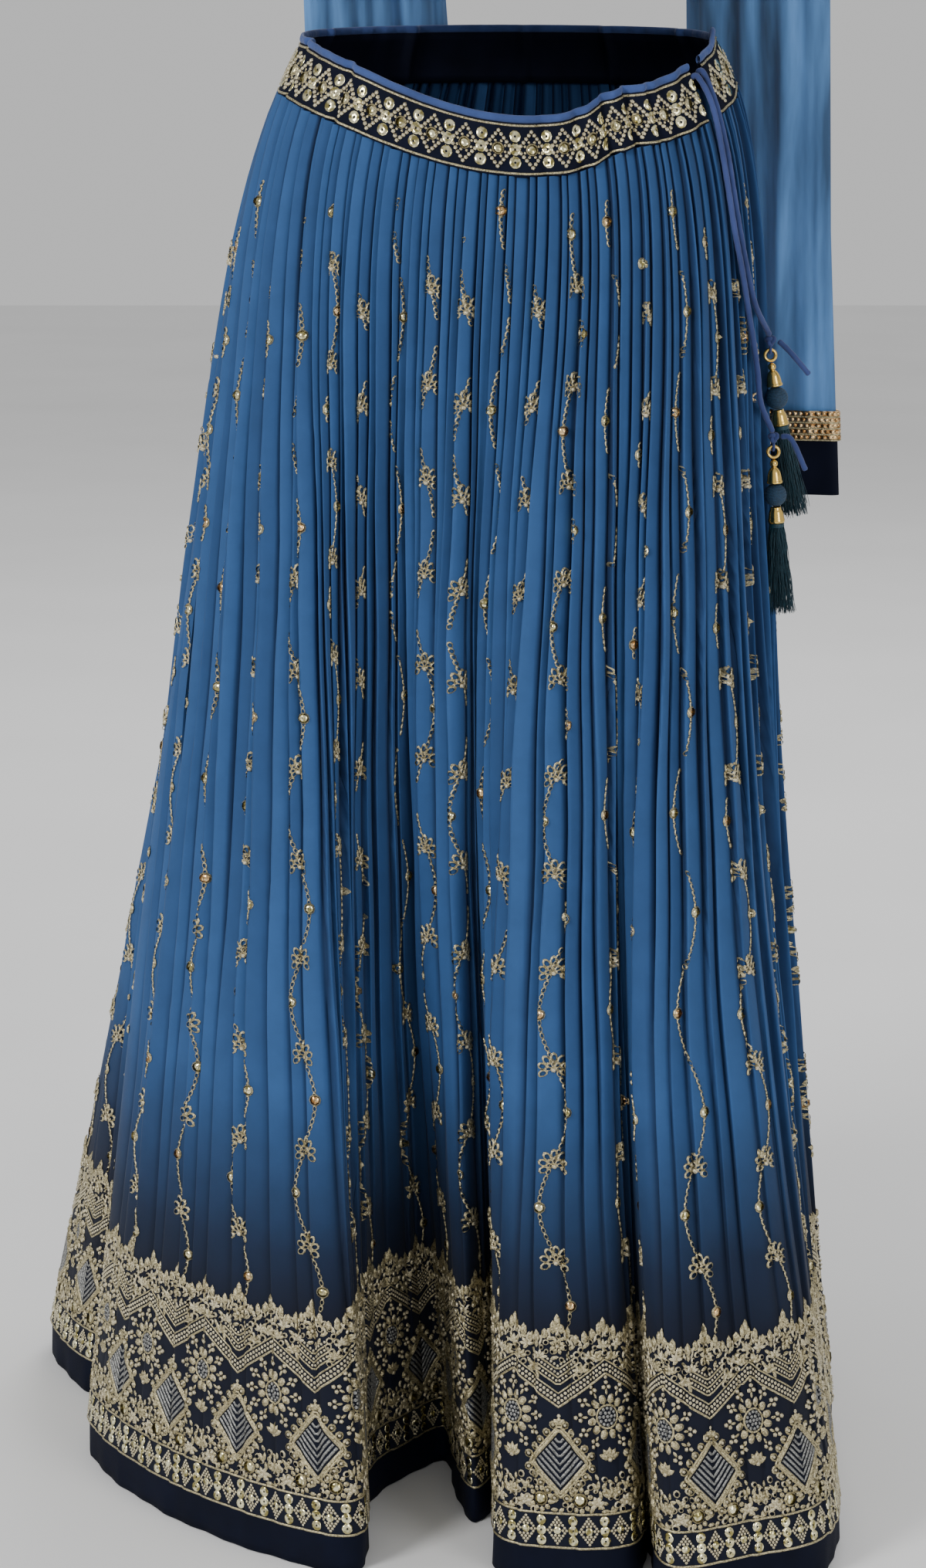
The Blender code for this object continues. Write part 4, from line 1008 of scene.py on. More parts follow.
def make_tassel(key):
    """Ring, bell, ball, cap and fringe, finer than the solids that they replace."""
    place = leaning(key)
    turn = np.linspace(0, 2 * math.pi, RING_STEPS + 1)[:-1]
    ring = np.stack([RING_RADIUS * np.cos(turn), 0 * turn, RING_RADIUS * np.sin(turn)], 1)[:, None]
    out = ring / RING_RADIUS
    tube = circle(WIRE_SIDES)[None, :, None]
    wire = ring + RING_WIRE * (np.cos(tube) * out + np.sin(tube) * np.array([0.0, 1.0, 0.0]))
    wire = np.concatenate([wire, wire[:1]])
    faces = grid_faces(RING_STEPS + 1, WIRE_SIDES, True)
    hoop = new_mesh(f"brass_ring_{key}", place(wire.reshape(-1, 3)), faces, [MATS["brass"]])
    top = -(RING_RADIUS + RING_WIRE + SEAM_GAP)
    bead_end = top - BEAD_SHOWN * BEAD_RADIUS
    rows = [p for p in ball_rows(BEAD_RADIUS, 14, top) if p[1] > bead_end]
    rows += [(radius, bead_end - drop * BELL_HEIGHT) for radius, drop in BELL_ROWS]
    bell = turned(f"brass_bell_{key}", rows, place)
    top = bead_end - BELL_HEIGHT - SEAM_GAP
    ball = make_ball(key, top, place)
    top -= 2 * BALL_RADIUS + SEAM_GAP
    rows = [(radius, top - drop * CAP_HEIGHT) for radius, drop in CAP_ROWS]
    cap = turned(f"brass_cap_{key}", rows, place)
    top -= CAP_HEIGHT + SEAM_GAP
    fringe = make_fringe(key, top, place)
    made = {"ring": hoop, "bell": bell, "ball": ball, "cap": cap, "fringe": fringe}
    for part, obj in made.items():
        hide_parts(f"tassel_{key}_{part}")
    return [made[part] for part in ("ring", "bell", "ball", "cap")]


def make_ball(key, top, place):
    """A ball wound with thread: its turns of thread slant round it in bands."""
    down = np.linspace(0, math.pi, BALL_STEPS + 1)
    rise, turn = np.meshgrid(down, circle(BALL_STEPS), indexing="ij")
    wound = np.cos(26 * rise + 3 * np.sin(turn * 2 + 0.8))
    radius = BALL_RADIUS * (0.985 + 0.022 * wound * np.sin(rise))
    points = around(radius * np.sin(rise), turn, top - BALL_RADIUS + radius * np.cos(rise))
    faces = grid_faces(BALL_STEPS + 1, BALL_STEPS, True)
    return new_mesh(f"wound_ball_{key}", place(points.reshape(-1, 3)), faces, [MATS["ball"]])


def make_fringe(key, top, place):
    """Silk strands that fall from a bound head, each a little wavy and of its own length."""
    dice = np.random.default_rng(7 if key == "a" else 8)
    points, faces = [], []
    down = np.linspace(0, 1, STRAND_STEPS)
    for k in range(STRANDS):
        ring = math.sqrt((k + 0.5) / STRANDS)
        turn = GOLDEN_TURN * k
        length = STRAND_LENGTH * (1 - 0.13 * dice.random() ** 1.5)
        bow = ring * STRAND_SPREAD * (0.85 + 0.3 * dice.random())
        radius = HEAD_RADIUS * 0.9 * ring * (1 - down) ** 2 + bow * down**0.8
        radius = radius + 0.6 * HEAD_RADIUS * ring * (1 - down) * down
        spin = turn + 0.35 * (dice.random() - 0.5) * down
        wave = 0.0005 * np.sin(down * (9 + 6 * dice.random()) + 6 * dice.random())
        path = np.stack([radius * np.cos(spin) + wave, radius * np.sin(spin) + wave,
                         top - 0.0004 - HEAD_HEIGHT * 0.2 - (length - HEAD_HEIGHT) * down], 1)
        first = len(points)
        for spot, thick in zip(path, 0.00034 * (1 - 0.5 * down)):
            for corner in range(3):
                angle = 2 * math.pi * corner / 3 + k
                points.append(spot + thick * np.array([math.cos(angle), math.sin(angle), 0.0]))
        last = len(points)
        faces += [tuple(f) for f in grid_faces(STRAND_STEPS, 3, True, first)]
        faces += [(first + 2, first + 1, first), (last - 3, last - 2, last - 1)]
    first = len(points)
    for radius, height in HEAD_ROWS:
        points += list(around(radius, circle(HEAD_SIDES), top + height))
    faces += [tuple(f) for f in grid_faces(len(HEAD_ROWS), HEAD_SIDES, True, first)]
    return new_mesh(f"fringe_{key}", place(np.array(points)), faces, [MATS["thread"]])


def make_knot(key):
    """The overhand knot above the ring, and the loop of cord that holds the ring."""
    middle = knot_middle(key)
    t = np.linspace(0, 2 * math.pi, 121)
    size = 0.00094
    path = size * np.stack([np.sin(t) + 2 * np.sin(2 * t), -np.sin(3 * t) * 1.1,
                            np.cos(t) - 2 * np.cos(2 * t)], 1)
    knot, faces = tube_parts(path + middle, KNOT_CORD, 12)
    loop_radius = RING_WIRE + SEAM_GAP + LOOP_CORD
    turn = np.linspace(0, 2 * math.pi, 41)
    spot = TASSELS[key]
    centre = np.array([spot["x"], spot["y"], spot["z"] + RING_RADIUS])
    ring = centre + loop_radius * np.stack([np.zeros_like(turn), np.cos(turn), np.sin(turn)], 1)
    loop, loop_faces = tube_parts(ring, LOOP_CORD, 10)
    faces = faces + [tuple(k + len(knot) for k in f) for f in loop_faces]
    obj = new_mesh(f"cord_knot_{key}", np.vstack([knot, loop]), faces, [MATS["cord"]])
    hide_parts(f"knot_{key}")
    return obj


def make_drawstring(key):
    """One cord of the drawstring with its knot, its frayed free tail and its tassel."""
    middle = knot_middle(key)
    path = route_curve(np.vstack([cord_route(key), middle + KNOT_ENTRY]), 0.0012)
    cord = make_cord(f"drawstring_{key}", path, CORD_DIAMETER / 2)
    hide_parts(f"drawcord_{key}")
    tail_path = route_curve(np.array(TAIL_ROUTES[key]) + middle, 0.0010)
    tail = make_cord(f"tail_{key}", tail_path, CORD_DIAMETER / 2 * 0.95)
    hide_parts(f"cord_tail_{key}")
    knot = make_knot(key)
    pieces = make_tassel(key)


def panel_places(first, last):
    """Places over each pleat of a panel, closer at its crease, as shares of the way round."""
    places = []
    for number in range(first, last):
        wrap = number // PLEATS
        start, end = SKIRT.edges[number % PLEATS] + wrap, SKIRT.edges[number % PLEATS + 1] + wrap
        places += [start + (end - start) * share for share in PLEAT_PLACES]
    places.append(SKIRT.edges[last % PLEATS] + last // PLEATS)
    return np.array(places)


def make_skirt():
    """The pleated cloth of each panel and the plain band below its gold edge."""
    for panel in PANELS:
        u = panel_places(panel["first"], panel["last"])
        u[0] += 1e-5
        u[-1] -= 1e-5
        v = np.linspace(0, 1, SKIRT_ROWS) ** 0.97
        grid = SKIRT.cloth(u[None, :], v[:, None])
        cloth = shell(f"skirt_cloth_{panel['name']}", grid, [MATS["skirt"]])
        # The painted shade of the creases, kept on the cloth for its material
        shade = cloth.data.attributes.new("crease", "FLOAT", "POINT")
        shade.data.foreach_set("value", SKIRT.crease(u[None, :], v[:, None]).ravel())
        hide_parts(f"skirt_{panel['name']}")
        make_hem_band(panel, u[::3])


def make_hem_band(panel, u):
    """The navy band at the hem, sewn behind the embroidered edge; it hangs a little uneven."""
    v = np.ones_like(u)
    outer, inner = [], []
    for share in np.linspace(0, 1, HEM_ROWS):
        sway = 0.0007 * np.sin(2 * math.pi * 38 * u + 1) * share
        sway = sway + 0.0006 * np.sin(2 * math.pi * 91 * u) * share
        for ring, half in ((outer, HEM_WALL), (inner, -HEM_WALL)):
            points = SKIRT.points(u, v, sway + half - 0.0002)
            points[:, 2] = HEM_Z + (HEM_BAND_HEIGHT + 0.0006) * (1 - share) + 0.0002
            ring.append(points)
    band = wall(f"hem_cloth_{panel['name']}", np.array(outer), np.array(inner), [MATS["navy"]])
    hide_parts(f"hem_band_{panel['name']}")


def make_waistband():
    """The embroidered band's cloth and the rolled binding on its upper edge."""
    angles = np.linspace(SLIT_END, SLIT_START + 2 * math.pi, BAND_SAMPLES)
    downs = np.linspace(0, 1, 7)
    grids = []
    for half, longer in ((BAND_WALL, 0.0), (-BAND_WALL, BAND_OVERHANG)):
        grids.append(np.array([band_points(angles, np.full_like(angles, d * (1 + longer)),
                                           half - BAND_TURN_IN * longer * d**4) for d in downs]))
    band = wall("waist_cloth", grids[0], grids[1], [MATS["navy"]])
    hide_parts("waistband")
    turn = np.linspace(0, 2 * math.pi, 15)[:-1]
    pucker = 1 + 0.10 * np.sin(angles * 61) + 0.06 * np.sin(angles * 143 + 2)
    rolls = []
    for t in turn:
        across = BINDING_DEPTH / 2 * math.cos(t) * pucker
        ring = band_points(angles, np.zeros_like(angles), across)
        rise = BINDING_HEIGHT / 2 * math.sin(t) * (0.94 + 0.06 * pucker)
        ring[:, 2] += BINDING_HEIGHT / 2 - SEAM_GAP - rise
        rolls.append(ring)
    rolls.append(rolls[0])
    binding = shell("waist_binding", np.array(rolls), [MATS["binding"]])
    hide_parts("waistband_binding")


def make_blouse():
    """The blouse's front and back, each a wall of cloth; the front laps over at the sides."""
    for side in ("front", "back"):
        angles = np.linspace(-CLOTH_SIDE[side], CLOTH_SIDE[side], 97)
        if side == "back":
            angles = -angles
        top = blouse_top(angles, side)
        reach = BLOUSE_HEM_TILT * np.sin(angles)
        hem = BLOUSE_HEM_Z - reach * body_value(BLOUSE_HEM_Z, "half_width")
        grids = []
        for shift in (BLOUSE_WALL, -BLOUSE_WALL):
            rows = [blouse_point(angles, top + (hem - top) * share, side, shift)
                    for share in np.linspace(0, 1, 41)]
            grids.append(np.array(rows))
        cloth = wall(f"choli_cloth_{side}", grids[0], grids[1], [MATS["navy"]])
        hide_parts(f"choli_{side}")


def make_sleeve(side):
    """The sleeve's thin cloth, its trim and the cuff below it."""
    turns = circle(150)
    turns = -turns % (2 * math.pi) if side == "right" else turns
    downs = np.linspace(0, 1, 76) ** 1.1
    grid = sleeve_grid(side, turns, downs)
    cloth = shell(f"sleeve_cloth_{side}", grid, [MATS["sheer"]], closed=True)
    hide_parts(f"sleeve_{side}")
    for name, node, slot, mat, top, bottom, out in (
        ("trim_cloth", "sleeve_trim", "gold", "copper", SLEEVE_END_Z + TRIM_HEIGHT, SLEEVE_END_Z,
         TRIM_OUT),
        ("cuff_cloth", "sleeve_cuff", "navy", "navy", SLEEVE_END_Z - SEAM_GAP, CUFF_END_Z, 0.0),
    ):
        walls = []
        for half in (TRIM_WALL, -TRIM_WALL):
            rows = [sleeve_section(side, turns, np.full_like(turns, z), out + half)
                    for z in np.linspace(top, bottom, 9)]
            walls.append(np.array(rows))
        band = wall(f"{name}_{side}", walls[0], walls[1], [MATS[mat]], closed=True)
        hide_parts(f"{node}_{side}")


def dome(rows, sides):
    """A small round shape from (radius, height) rows, edge first. A last radius of zero
    closes it at its middle, and otherwise it has a hole."""
    turn = circle(sides)
    rings = [around(r, turn, h) for r, h in rows if r > 0]
    here, after = np.arange(sides), (np.arange(sides) + 1) % sides
    faces = []
    for k in range(len(rings) - 1):
        a, b = here + k * sides, after + k * sides
        faces += [np.stack([a, b, b + sides], 1), np.stack([a, b + sides, a + sides], 1)]
    if rows[-1][0] == 0:
        last = (len(rings) - 1) * sides
        middle = np.full(sides, len(rings) * sides)
        faces.append(np.stack([here + last, after + last, middle], 1))
        rings.append(np.array([[0.0, 0.0, rows[-1][1]]]))
    return np.vstack(rings), np.vstack(faces)


BEAD_SHAPE = dome(((1.0, 0.0), (0.80, 0.65), (0.0, 1.0)), 5)
SMALL_BEAD_SHAPE = dome(((1.0, 0.0), (0.0, 1.0)), 6)
SEQUIN_SHAPE = dome(((1.0, 0.0), (0.90, 0.20), (0.0, 0.05)), 10)
PIERCED_SHAPE = dome(((1.0, 0.0), (0.88, 0.20), (0.20, 0.0)), 10)
RING_SHAPE = dome(((1.0, 0.0), (0.78, 0.30)), 10)
LOOP_SHAPE = dome(((1.0, 0.0), (0.60, 0.85)), 8)
LEAF_SHAPE = (
    np.array([(-1, 0, 0), (-0.4, -1, 0), (0.45, -0.9, 0), (1, 0, 0), (0.45, 0.9, 0), (-0.4, 1, 0),
              (-0.5, 0, 1), (0.5, 0, 1)], float),
    np.array([(0, 1, 6), (1, 2, 7), (1, 7, 6), (2, 3, 7), (3, 4, 7), (4, 5, 6), (4, 6, 7),
              (5, 0, 6)]),
)


def polar(x, t, reach, turn):
    """The point at a reach and a turn from x, t."""
    return x + reach * math.cos(turn), t + reach * math.sin(turn)


class Motif:
    """Stitches in a flat frame: x along the cloth, t up it and h off it."""

    def __init__(self):
        self.points, self.faces, self.tags, self.count = [], [], [], 0

    def add(self, shape, x, t, size, turn=0.0, tag=GOLD):
        """One shape; size is its half length, half width and height."""
        points = shape[0] * np.asarray(size)
        cos, sin = math.cos(turn), math.sin(turn)
        placed = np.stack([x + points[:, 0] * cos - points[:, 1] * sin,
                           t + points[:, 0] * sin + points[:, 1] * cos, points[:, 2]], 1)
        self.keep(placed, shape[1], tag)

    def keep(self, points, faces, tag):
        self.points.append(points)
        self.faces.append(faces + self.count)
        self.tags.append(np.full(len(faces), tag))
        self.count += len(points)

    def bead(self, x, t, radius, tag=BEAD):
        shape = BEAD_SHAPE if radius > FINE_BEAD else SMALL_BEAD_SHAPE
        self.add(shape, x, t, (radius, radius, radius), tag=tag)

    def petal(self, x, t, turn, length, width, tag=GOLD):
        """A satin-stitch petal from its foot at x, t."""
        half = length / 2
        size = (half, width / 2, 0.35 * width)
        self.add(LEAF_SHAPE, *polar(x, t, half, turn), size, turn, tag)

    def fan(self, x, t, count, spread, length, width, tag=GOLD):
        """Petals from one foot, fanned out round straight up."""
        for k in range(count):
            turn = math.pi / 2 + spread * (k / (count - 1) - 0.5)
            self.petal(x, t, turn, length, width, tag)

    def rosette(self, x, t, count, inner, length, width, tag=GOLD):
        for k in range(count):
            turn = 2 * math.pi * (k + 0.5) / count
            self.petal(*polar(x, t, inner, turn), turn, length, width, tag)

    def mirror(self, x, t, radius, tag=MIRROR):
        """A foil mirror in its ring of thread."""
        self.add(SEQUIN_SHAPE, x, t, (0.78 * radius, 0.78 * radius, radius), tag=tag)
        self.add(RING_SHAPE, x, t, (radius, radius, radius))

    def cord(self, route, width, tag=GOLD, step=COUCH_STEP):
        """A couched cord along a route of x, t points."""
        route = np.asarray(route, float)
        along = way_along(route)
        wanted = np.linspace(0, along[-1], max(3, math.ceil(along[-1] / step) + 1))
        even = read_path(route, along, wanted)
        ahead = unit(np.gradient(even, axis=0))
        side = np.stack([ahead[:, 1], -ahead[:, 0]], 1) * width / 2
        rows = []
        for share, height in ((1.0, 0.0), (0.0, 0.55 * width), (-1.0, 0.0)):
            rows.append(np.column_stack([even + side * share, np.full(len(even), height)]))
        count = len(even)
        a = np.concatenate([np.arange(count - 1), np.arange(count - 1) + count])
        faces = (np.stack([a, a + 1, a + count + 1], 1), np.stack([a, a + count + 1, a + count], 1))
        self.keep(np.vstack(rows), np.vstack(faces), tag)

    def beads(self, route, radius, spacing, tag=BEAD):
        """A row of beads along a route."""
        route = np.asarray(route, float)
        along = way_along(route)
        count = max(1, round(along[-1] / spacing))
        for x, t in read_path(route, along, (np.arange(count) + 0.5) / count * along[-1]):
            self.bead(x, t, radius, tag)

    def scatter(self, dice, box, inside):
        """Small loops and leaves at chance places and slants, a gap apart, where inside says so."""
        gap, length, width = FILLER["gap"], FILLER["length"], FILLER["width"]
        kept = np.empty((0, 2))
        for _ in range(SCATTER_TRIES):
            spot = dice.uniform(box[0], box[1])
            if not inside(*spot) or (len(kept) and np.min(np.hypot(*(kept - spot).T)) < gap):
                continue
            kept = np.vstack([kept, spot])
            size = dice.uniform(0.8, 1.2)
            if dice.random() < 0.55:
                size = (0.40 * length * size, 0.34 * length * size, 0.5 * width)
                self.add(LOOP_SHAPE, *spot, size, dice.uniform(0, math.pi), BEAD)
            else:
                size = (length / 2 * size, width / 2, 0.35 * width)
                self.add(LEAF_SHAPE, *spot, size, dice.uniform(0, math.pi))

    def squeeze(self, first, x, limit, spread):
        """Draws the shapes from the first on to within a limit of x, then spreads them."""
        for points in self.points[first:]:
            points[:, 0] = x + limit * np.tanh((points[:, 0] - x) / limit) * spread

    def arrays(self):
        return np.vstack(self.points), np.vstack(self.faces), np.concatenate(self.tags)


def lay(name, motifs, places, surface):
    """Lays a motif on a surface at each of the places along x, as one piece."""
    laid, joined, threads, count = [], [], [], 0
    for motif, place in zip(motifs, places):
        points, faces, tags = motif.arrays()
        laid.append(surface(*points.T, place))
        joined.append(faces + count)
        threads.append(tags)
        count += len(points)
    obj = new_mesh(name, np.vstack(laid), np.vstack(joined), [MATS[key] for key in THREADS],
                   tags=np.concatenate(threads))


def stand_off(spot, right, above, height):
    """Points moved off a surface, from three points on it close together."""
    return spot + unit(np.cross(right - spot, above - spot)) * height[:, None]


def cloth_share(u, t):
    """How far down the skirt a height above the hem line is."""
    drop = SKIRT.height(u, np.zeros_like(u)) - SKIRT.height(u, np.ones_like(u))
    return 1 - t / drop


def on_skirt(x, t, h, place):
    """The border's frame laid on the skirt: it closes up towards the waist as the cloth does."""
    u = (place + x) / SKIRT.hem_length
    v = cloth_share(u, t)
    reach = 0.0006
    spot, right, above = (SKIRT.cloth(a, b) for a, b in ((u, v), (u + reach, v), (u, v - reach)))
    return stand_off(spot, right, above, h + STITCH_LIFT)


def band_lengths():
    """Angles round the band from one end to the other, and the way along it to each."""
    angles = np.linspace(SLIT_END, SLIT_START + 2 * math.pi, 1200)
    return angles, way_along(band_points(angles, np.full_like(angles, 0.5), BAND_WALL))


def on_band(x, t, h, place):
    angle = np.interp(place + x, BAND_ALONG, BAND_ANGLES)
    return band_points(angle, 1 - t / BAND_HEIGHT, BAND_WALL + STITCH_LIFT * 0.6 + h)


def zigzag_height(x, period):
    return ZIGZAG["low"] + (ZIGZAG["high"] - ZIGZAG["low"]) * abs(x) / (period / 2)


def crown_motif(period):
    """The zigzag of cords and beads over the diamonds, and the floral crown above it."""
    motif = Motif()
    half = period / 2
    route = np.array([(-half, ZIGZAG["high"]), (0, ZIGZAG["low"]), (half, ZIGZAG["high"])])
    for rise, width in ((0.0, 0.0015), (ZIGZAG["thick"], 0.0011)):
        motif.cord(route + (0, rise), width)
    for rise in (0.0030, 0.0062):
        motif.beads(route + (0, rise), 0.00120, 0.0030)
    for k in range(3):
        wide = 0.0165 - 0.0018 * k
        low = ZIGZAG["low"] + ZIGZAG["thick"] + 0.0052 + 0.0052 * k
        high = low + (ZIGZAG["high"] - ZIGZAG["low"]) * wide / half
        motif.cord([(-wide, high), (0, low), (wide, high)], 0.0012)
        chevron = [(-wide, high + 0.0026), (0, low + 0.0026), (wide, high + 0.0026)]
        motif.beads(chevron, 0.0010, 0.0027)
    motif.rosette(0, 0.1335, 8, 0.0016, 0.0044, 0.0026)
    motif.bead(0, 0.1335, 0.0016)

    def crown_height(x):
        return CROWN_T + CROWN_WAVE * math.cos(4 * math.pi * x / period)

    for k in range(CROWN_PETALS):
        x = (k + 0.5) / CROWN_PETALS * period - half
        tall = 0.0094 if k % 2 else 0.0068
        top = crown_height(x) - (0.0 if k % 2 else 0.0022)
        motif.petal(x, top - tall, math.pi / 2, tall, 0.0044)
        for sign in (-1, 1):
            motif.petal(x + sign * 0.0019, top - tall - 0.0015, math.pi / 2 - sign * 0.40,
                        tall * 0.6, 0.0016, BEAD)
    motif.petal(0, CROWN_T - 0.003, math.pi / 2, 0.0105, 0.0046)
    motif.petal(half, CROWN_T - 0.005, math.pi / 2, 0.0110, 0.0046)
    for k in range(6):
        x = (k + 0.5) / 6 * period - half
        low = zigzag_height(x, period) + ZIGZAG["thick"] + 0.0035
        if abs(x) > 0.016:
            motif.fan(x, low, 5, 2.6, 0.0062, 0.0024)
            motif.bead(x, low, 0.0013)
            motif.fan(x + 0.0055, low + 0.0085, 5, 2.8, 0.0056, 0.0022, BEAD)

    def inside(x, t):
        low = zigzag_height(x, period) + ZIGZAG["thick"] + 0.0022
        if abs(x) < 0.014:
            low += 0.018
        return low < t < crown_height(x) - 0.005

    box = ((-half, ZIGZAG["low"]), (half, CROWN_T + CROWN_WAVE))
    motif.scatter(np.random.default_rng(11), box, inside)
    return motif


def diamond_motif():
    """A corded diamond of silver chevrons with a scalloped edge."""
    motif = Motif()
    low, high, wide = DIAMOND["low"], DIAMOND["high"], DIAMOND["half_width"]
    middle = (low + high) / 2
    for out, width in ((1.0, 0.0026), (1.12, 0.0016)):
        side = wide * out
        foot, top = middle + (low - middle) * out, middle + (high - middle) * out
        motif.cord([(0, foot), (side, middle), (0, top), (-side, middle), (0, foot)], width)
    for k in range(CHEVRONS):
        rise = 0.0052 + 0.0047 * k
        reach = max(0.0, (high - low - rise) / (high - low) - 0.07)
        arm = np.array((wide, middle - low)) * reach
        foot = low + rise
        motif.cord([(-arm[0], foot + arm[1]), (0, foot), (arm[0], foot + arm[1])], 0.0018, SILVER)
    slope = math.atan2(middle - low, wide)
    for sign in (-1, 1):
        for up in (-1, 1):
            for k in range(SCALLOPS):
                share = (k + 0.5) / SCALLOPS
                x = sign * wide * share * SCALLOPS_OUT
                t = middle + up * (high - middle) * (1 - share) * SCALLOPS_OUT
                away = math.atan2(up * math.cos(slope), sign * math.sin(slope))
                motif.add(LOOP_SHAPE, *polar(x, t, 0.0024, away), (0.0031, 0.0028, 0.0014), away)
                motif.bead(*polar(x, t, 0.0026, away), 0.0015)
    tip = middle + (high - middle) * SCALLOPS_OUT
    motif.fan(0, tip - 0.001, 3, 1.5, 0.0056, 0.0034)
    motif.bead(0, tip + 0.0052, 0.0014)
    return motif


def add_medallion(motif, x):
    """A silver-hearted flower in a ring of bead trefoils, with a leaf below and a tip above."""
    t = MEDALLION_T
    motif.bead(x, t, 0.0013, SILVER)
    for ring, count in ((0.0028, 6), (0.0056, 12)):
        for k in range(count):
            motif.bead(*polar(x, t, ring, 2 * math.pi * k / count), 0.0013, SILVER)
    round_it = np.linspace(0, 2 * math.pi, 25)
    motif.cord([polar(x, t, 0.0078, turn) for turn in round_it], 0.0014, step=0.0022)
    motif.rosette(x, t, 12, 0.0083, 0.0070, 0.0050)
    for k in range(12):
        turn = 2 * math.pi * (k + 0.5) / 12
        motif.add(LOOP_SHAPE, *polar(x, t, 0.0128, turn), (0.0026, 0.0024, 0.0013), turn, BEAD)
    for k in range(12):
        turn = 2 * math.pi * k / 12 + math.pi / 2
        if k == 6:
            continue
        cos, sin = math.cos(turn), math.sin(turn)
        motif.petal(*polar(x, t, 0.0145, turn), turn, 0.0044, 0.0018)
        for off, out in ((-0.0019, 0.0198), (0.0019, 0.0198), (0.0, 0.0230)):
            motif.bead(x + out * cos - off * sin, t + out * sin + off * cos, 0.00165)
    motif.bead(x, t + 0.0264, 0.0013)
    motif.fan(x, t - 0.0285, 5, 2.2, 0.0084, 0.0036)
    motif.bead(x, t - 0.0285, 0.0018)


def border_motif(period):
    """Diamonds, medallions and the flowers along the foot of the border."""
    motif = diamond_motif()
    half = period / 2
    add_medallion(motif, half)
    for sign in (-1, 1):
        flower = (sign * FOOT_FLOWER[0], FOOT_FLOWER[1])
        motif.mirror(*flower, 0.0050)
        motif.rosette(*flower, 11, 0.0050, 0.0042, 0.0032)
        motif.fan(sign * 0.0255, 0.0290, 6, 4.2, 0.0058, 0.0028, BEAD)
        motif.bead(sign * 0.0255, 0.0290, 0.0019)
        motif.petal(sign * 0.0262, 0.0370, math.pi / 2 + sign * 0.5, 0.0075, 0.0032)
        motif.petal(sign * 0.0300, 0.0350, math.pi / 2 - sign * 0.3, 0.0065, 0.0028)
    motif.fan(half, 0.0335, 5, 2.4, 0.0072, 0.0030)

    def inside(x, t):
        low, high = DIAMOND["low"], DIAMOND["high"]
        away = abs(x) / DIAMOND["half_width"] + abs(t - (low + high) / 2) / ((high - low) / 2)
        if away < 1.34 or math.hypot(abs(x) - FOOT_FLOWER[0], t - FOOT_FLOWER[1]) < 0.0092:
            return False
        return STRIP_TOP + 0.0016 < t < 0.0440 + 0.0055 * math.sin(math.pi * abs(x) / half)

    box = ((-half, STRIP_TOP), (half, 0.050))
    motif.scatter(np.random.default_rng(12), box, inside)
    return motif


def strip_motif(pitch):
    """A column of three sequins, and a diamond of beads with a sequin at its middle."""
    motif = Motif()
    middle = STRIP_TOP / 2
    for k in (-1, 0, 1):
        motif.add(PIERCED_SHAPE, 0, middle + 0.0067 * k, (0.0035, 0.0035, 0.0030), tag=MIRROR)
    for i in range(6):
        for j in range(6):
            x, t = (i - j) * 0.00125, (i + j - 5) * 0.00172
            if math.hypot(x, t) > 0.0034:
                motif.bead(pitch / 2 + x, middle + t, 0.00098)
    motif.add(SEQUIN_SHAPE, pitch / 2, middle, (0.0027, 0.0027, 0.0028), tag=MIRROR)
    for t in (0.0, STRIP_TOP):
        motif.cord([(-pitch / 4, t), (3 * pitch / 4, t)], 0.0015)
    return motif


def pleat_view(x, t, place):
    """Whether the cloth at x, t faces out of its pleat, half the width of the face there, and
    how much narrower the skirt hangs there than the cloth is wide."""
    u = np.array((place + x) / SKIRT.hem_length)
    v = float(cloth_share(u, t))
    _, share, width = SKIRT.pleat(u)
    size = SKIRT.hip_length + (SKIRT.hem_length - SKIRT.hip_length) * v
    low, high, face = (np.interp(v, FACE_DOWN, row) for row in (FACE_START, FACE_END, FACE_WIDTH))
    return low < share < high, face * float(width) * size, SKIRT.hem_length / size


def vine_motif(number, place):
    """One vine from the crown to the waist: a chain of loops with flowers and mirrors."""
    motif = Motif()

    def sway(t):
        return VINE_SWING * math.cos(2 * math.pi * (t - FIRST_MIRROR) / VINE_TURN)

    def settled(t):
        """The cloth's own slip up or down, by which neighbouring vines differ."""
        return t + VINE_SLIP * math.sin(2.4 * number) * (t - VINE_START) / VINE_END

    for t in np.arange(VINE_START, VINE_END, VINE_STEP):
        x, high = sway(t), settled(t)
        lean = math.atan2(VINE_STEP, sway(t + VINE_STEP) - x)
        seen, half, spread = pleat_view(x, high, place)
        if seen:
            first = len(motif.points)
            motif.add(LOOP_SHAPE, x, high, (0.0025, 0.00135, 0.0008), lean, GOLD)
            motif.squeeze(first, x, half, spread)
    for k in range(int((VINE_END - FIRST_MIRROR) / (VINE_TURN / 4)) + 1):
        t = FIRST_MIRROR + k * VINE_TURN / 4
        x, high = sway(t), settled(t)
        seen, half, spread = pleat_view(x, high, place)
        if t > VINE_END or not seen:
            continue
        first = len(motif.points)
        if k % 2:
            add_vine_flower(motif, x, high - 0.004)
        else:
            motif.mirror(x, high, VINE_MIRROR, COPPER if (number + k // 2) % 3 == 0 else MIRROR)
        motif.squeeze(first, x, half, spread)
    return motif


def add_vine_flower(motif, x, t):
    """A fan of looped petals over a smaller fan, on a bead."""
    for count, spread, reach, half, wide, tag in (
        (7, 3.9, 0.0074, 0.0038, 0.0025, GOLD),
        (5, 3.0, 0.0033, 0.0026, 0.0015, BEAD),
    ):
        for k in range(count):
            turn = math.pi / 2 + spread * (k / (count - 1) - 0.5)
            motif.add(LOOP_SHAPE, *polar(x, t, reach, turn), (half, wide, 0.0011), turn, tag)
    motif.bead(x, t - 0.0008, 0.0018)


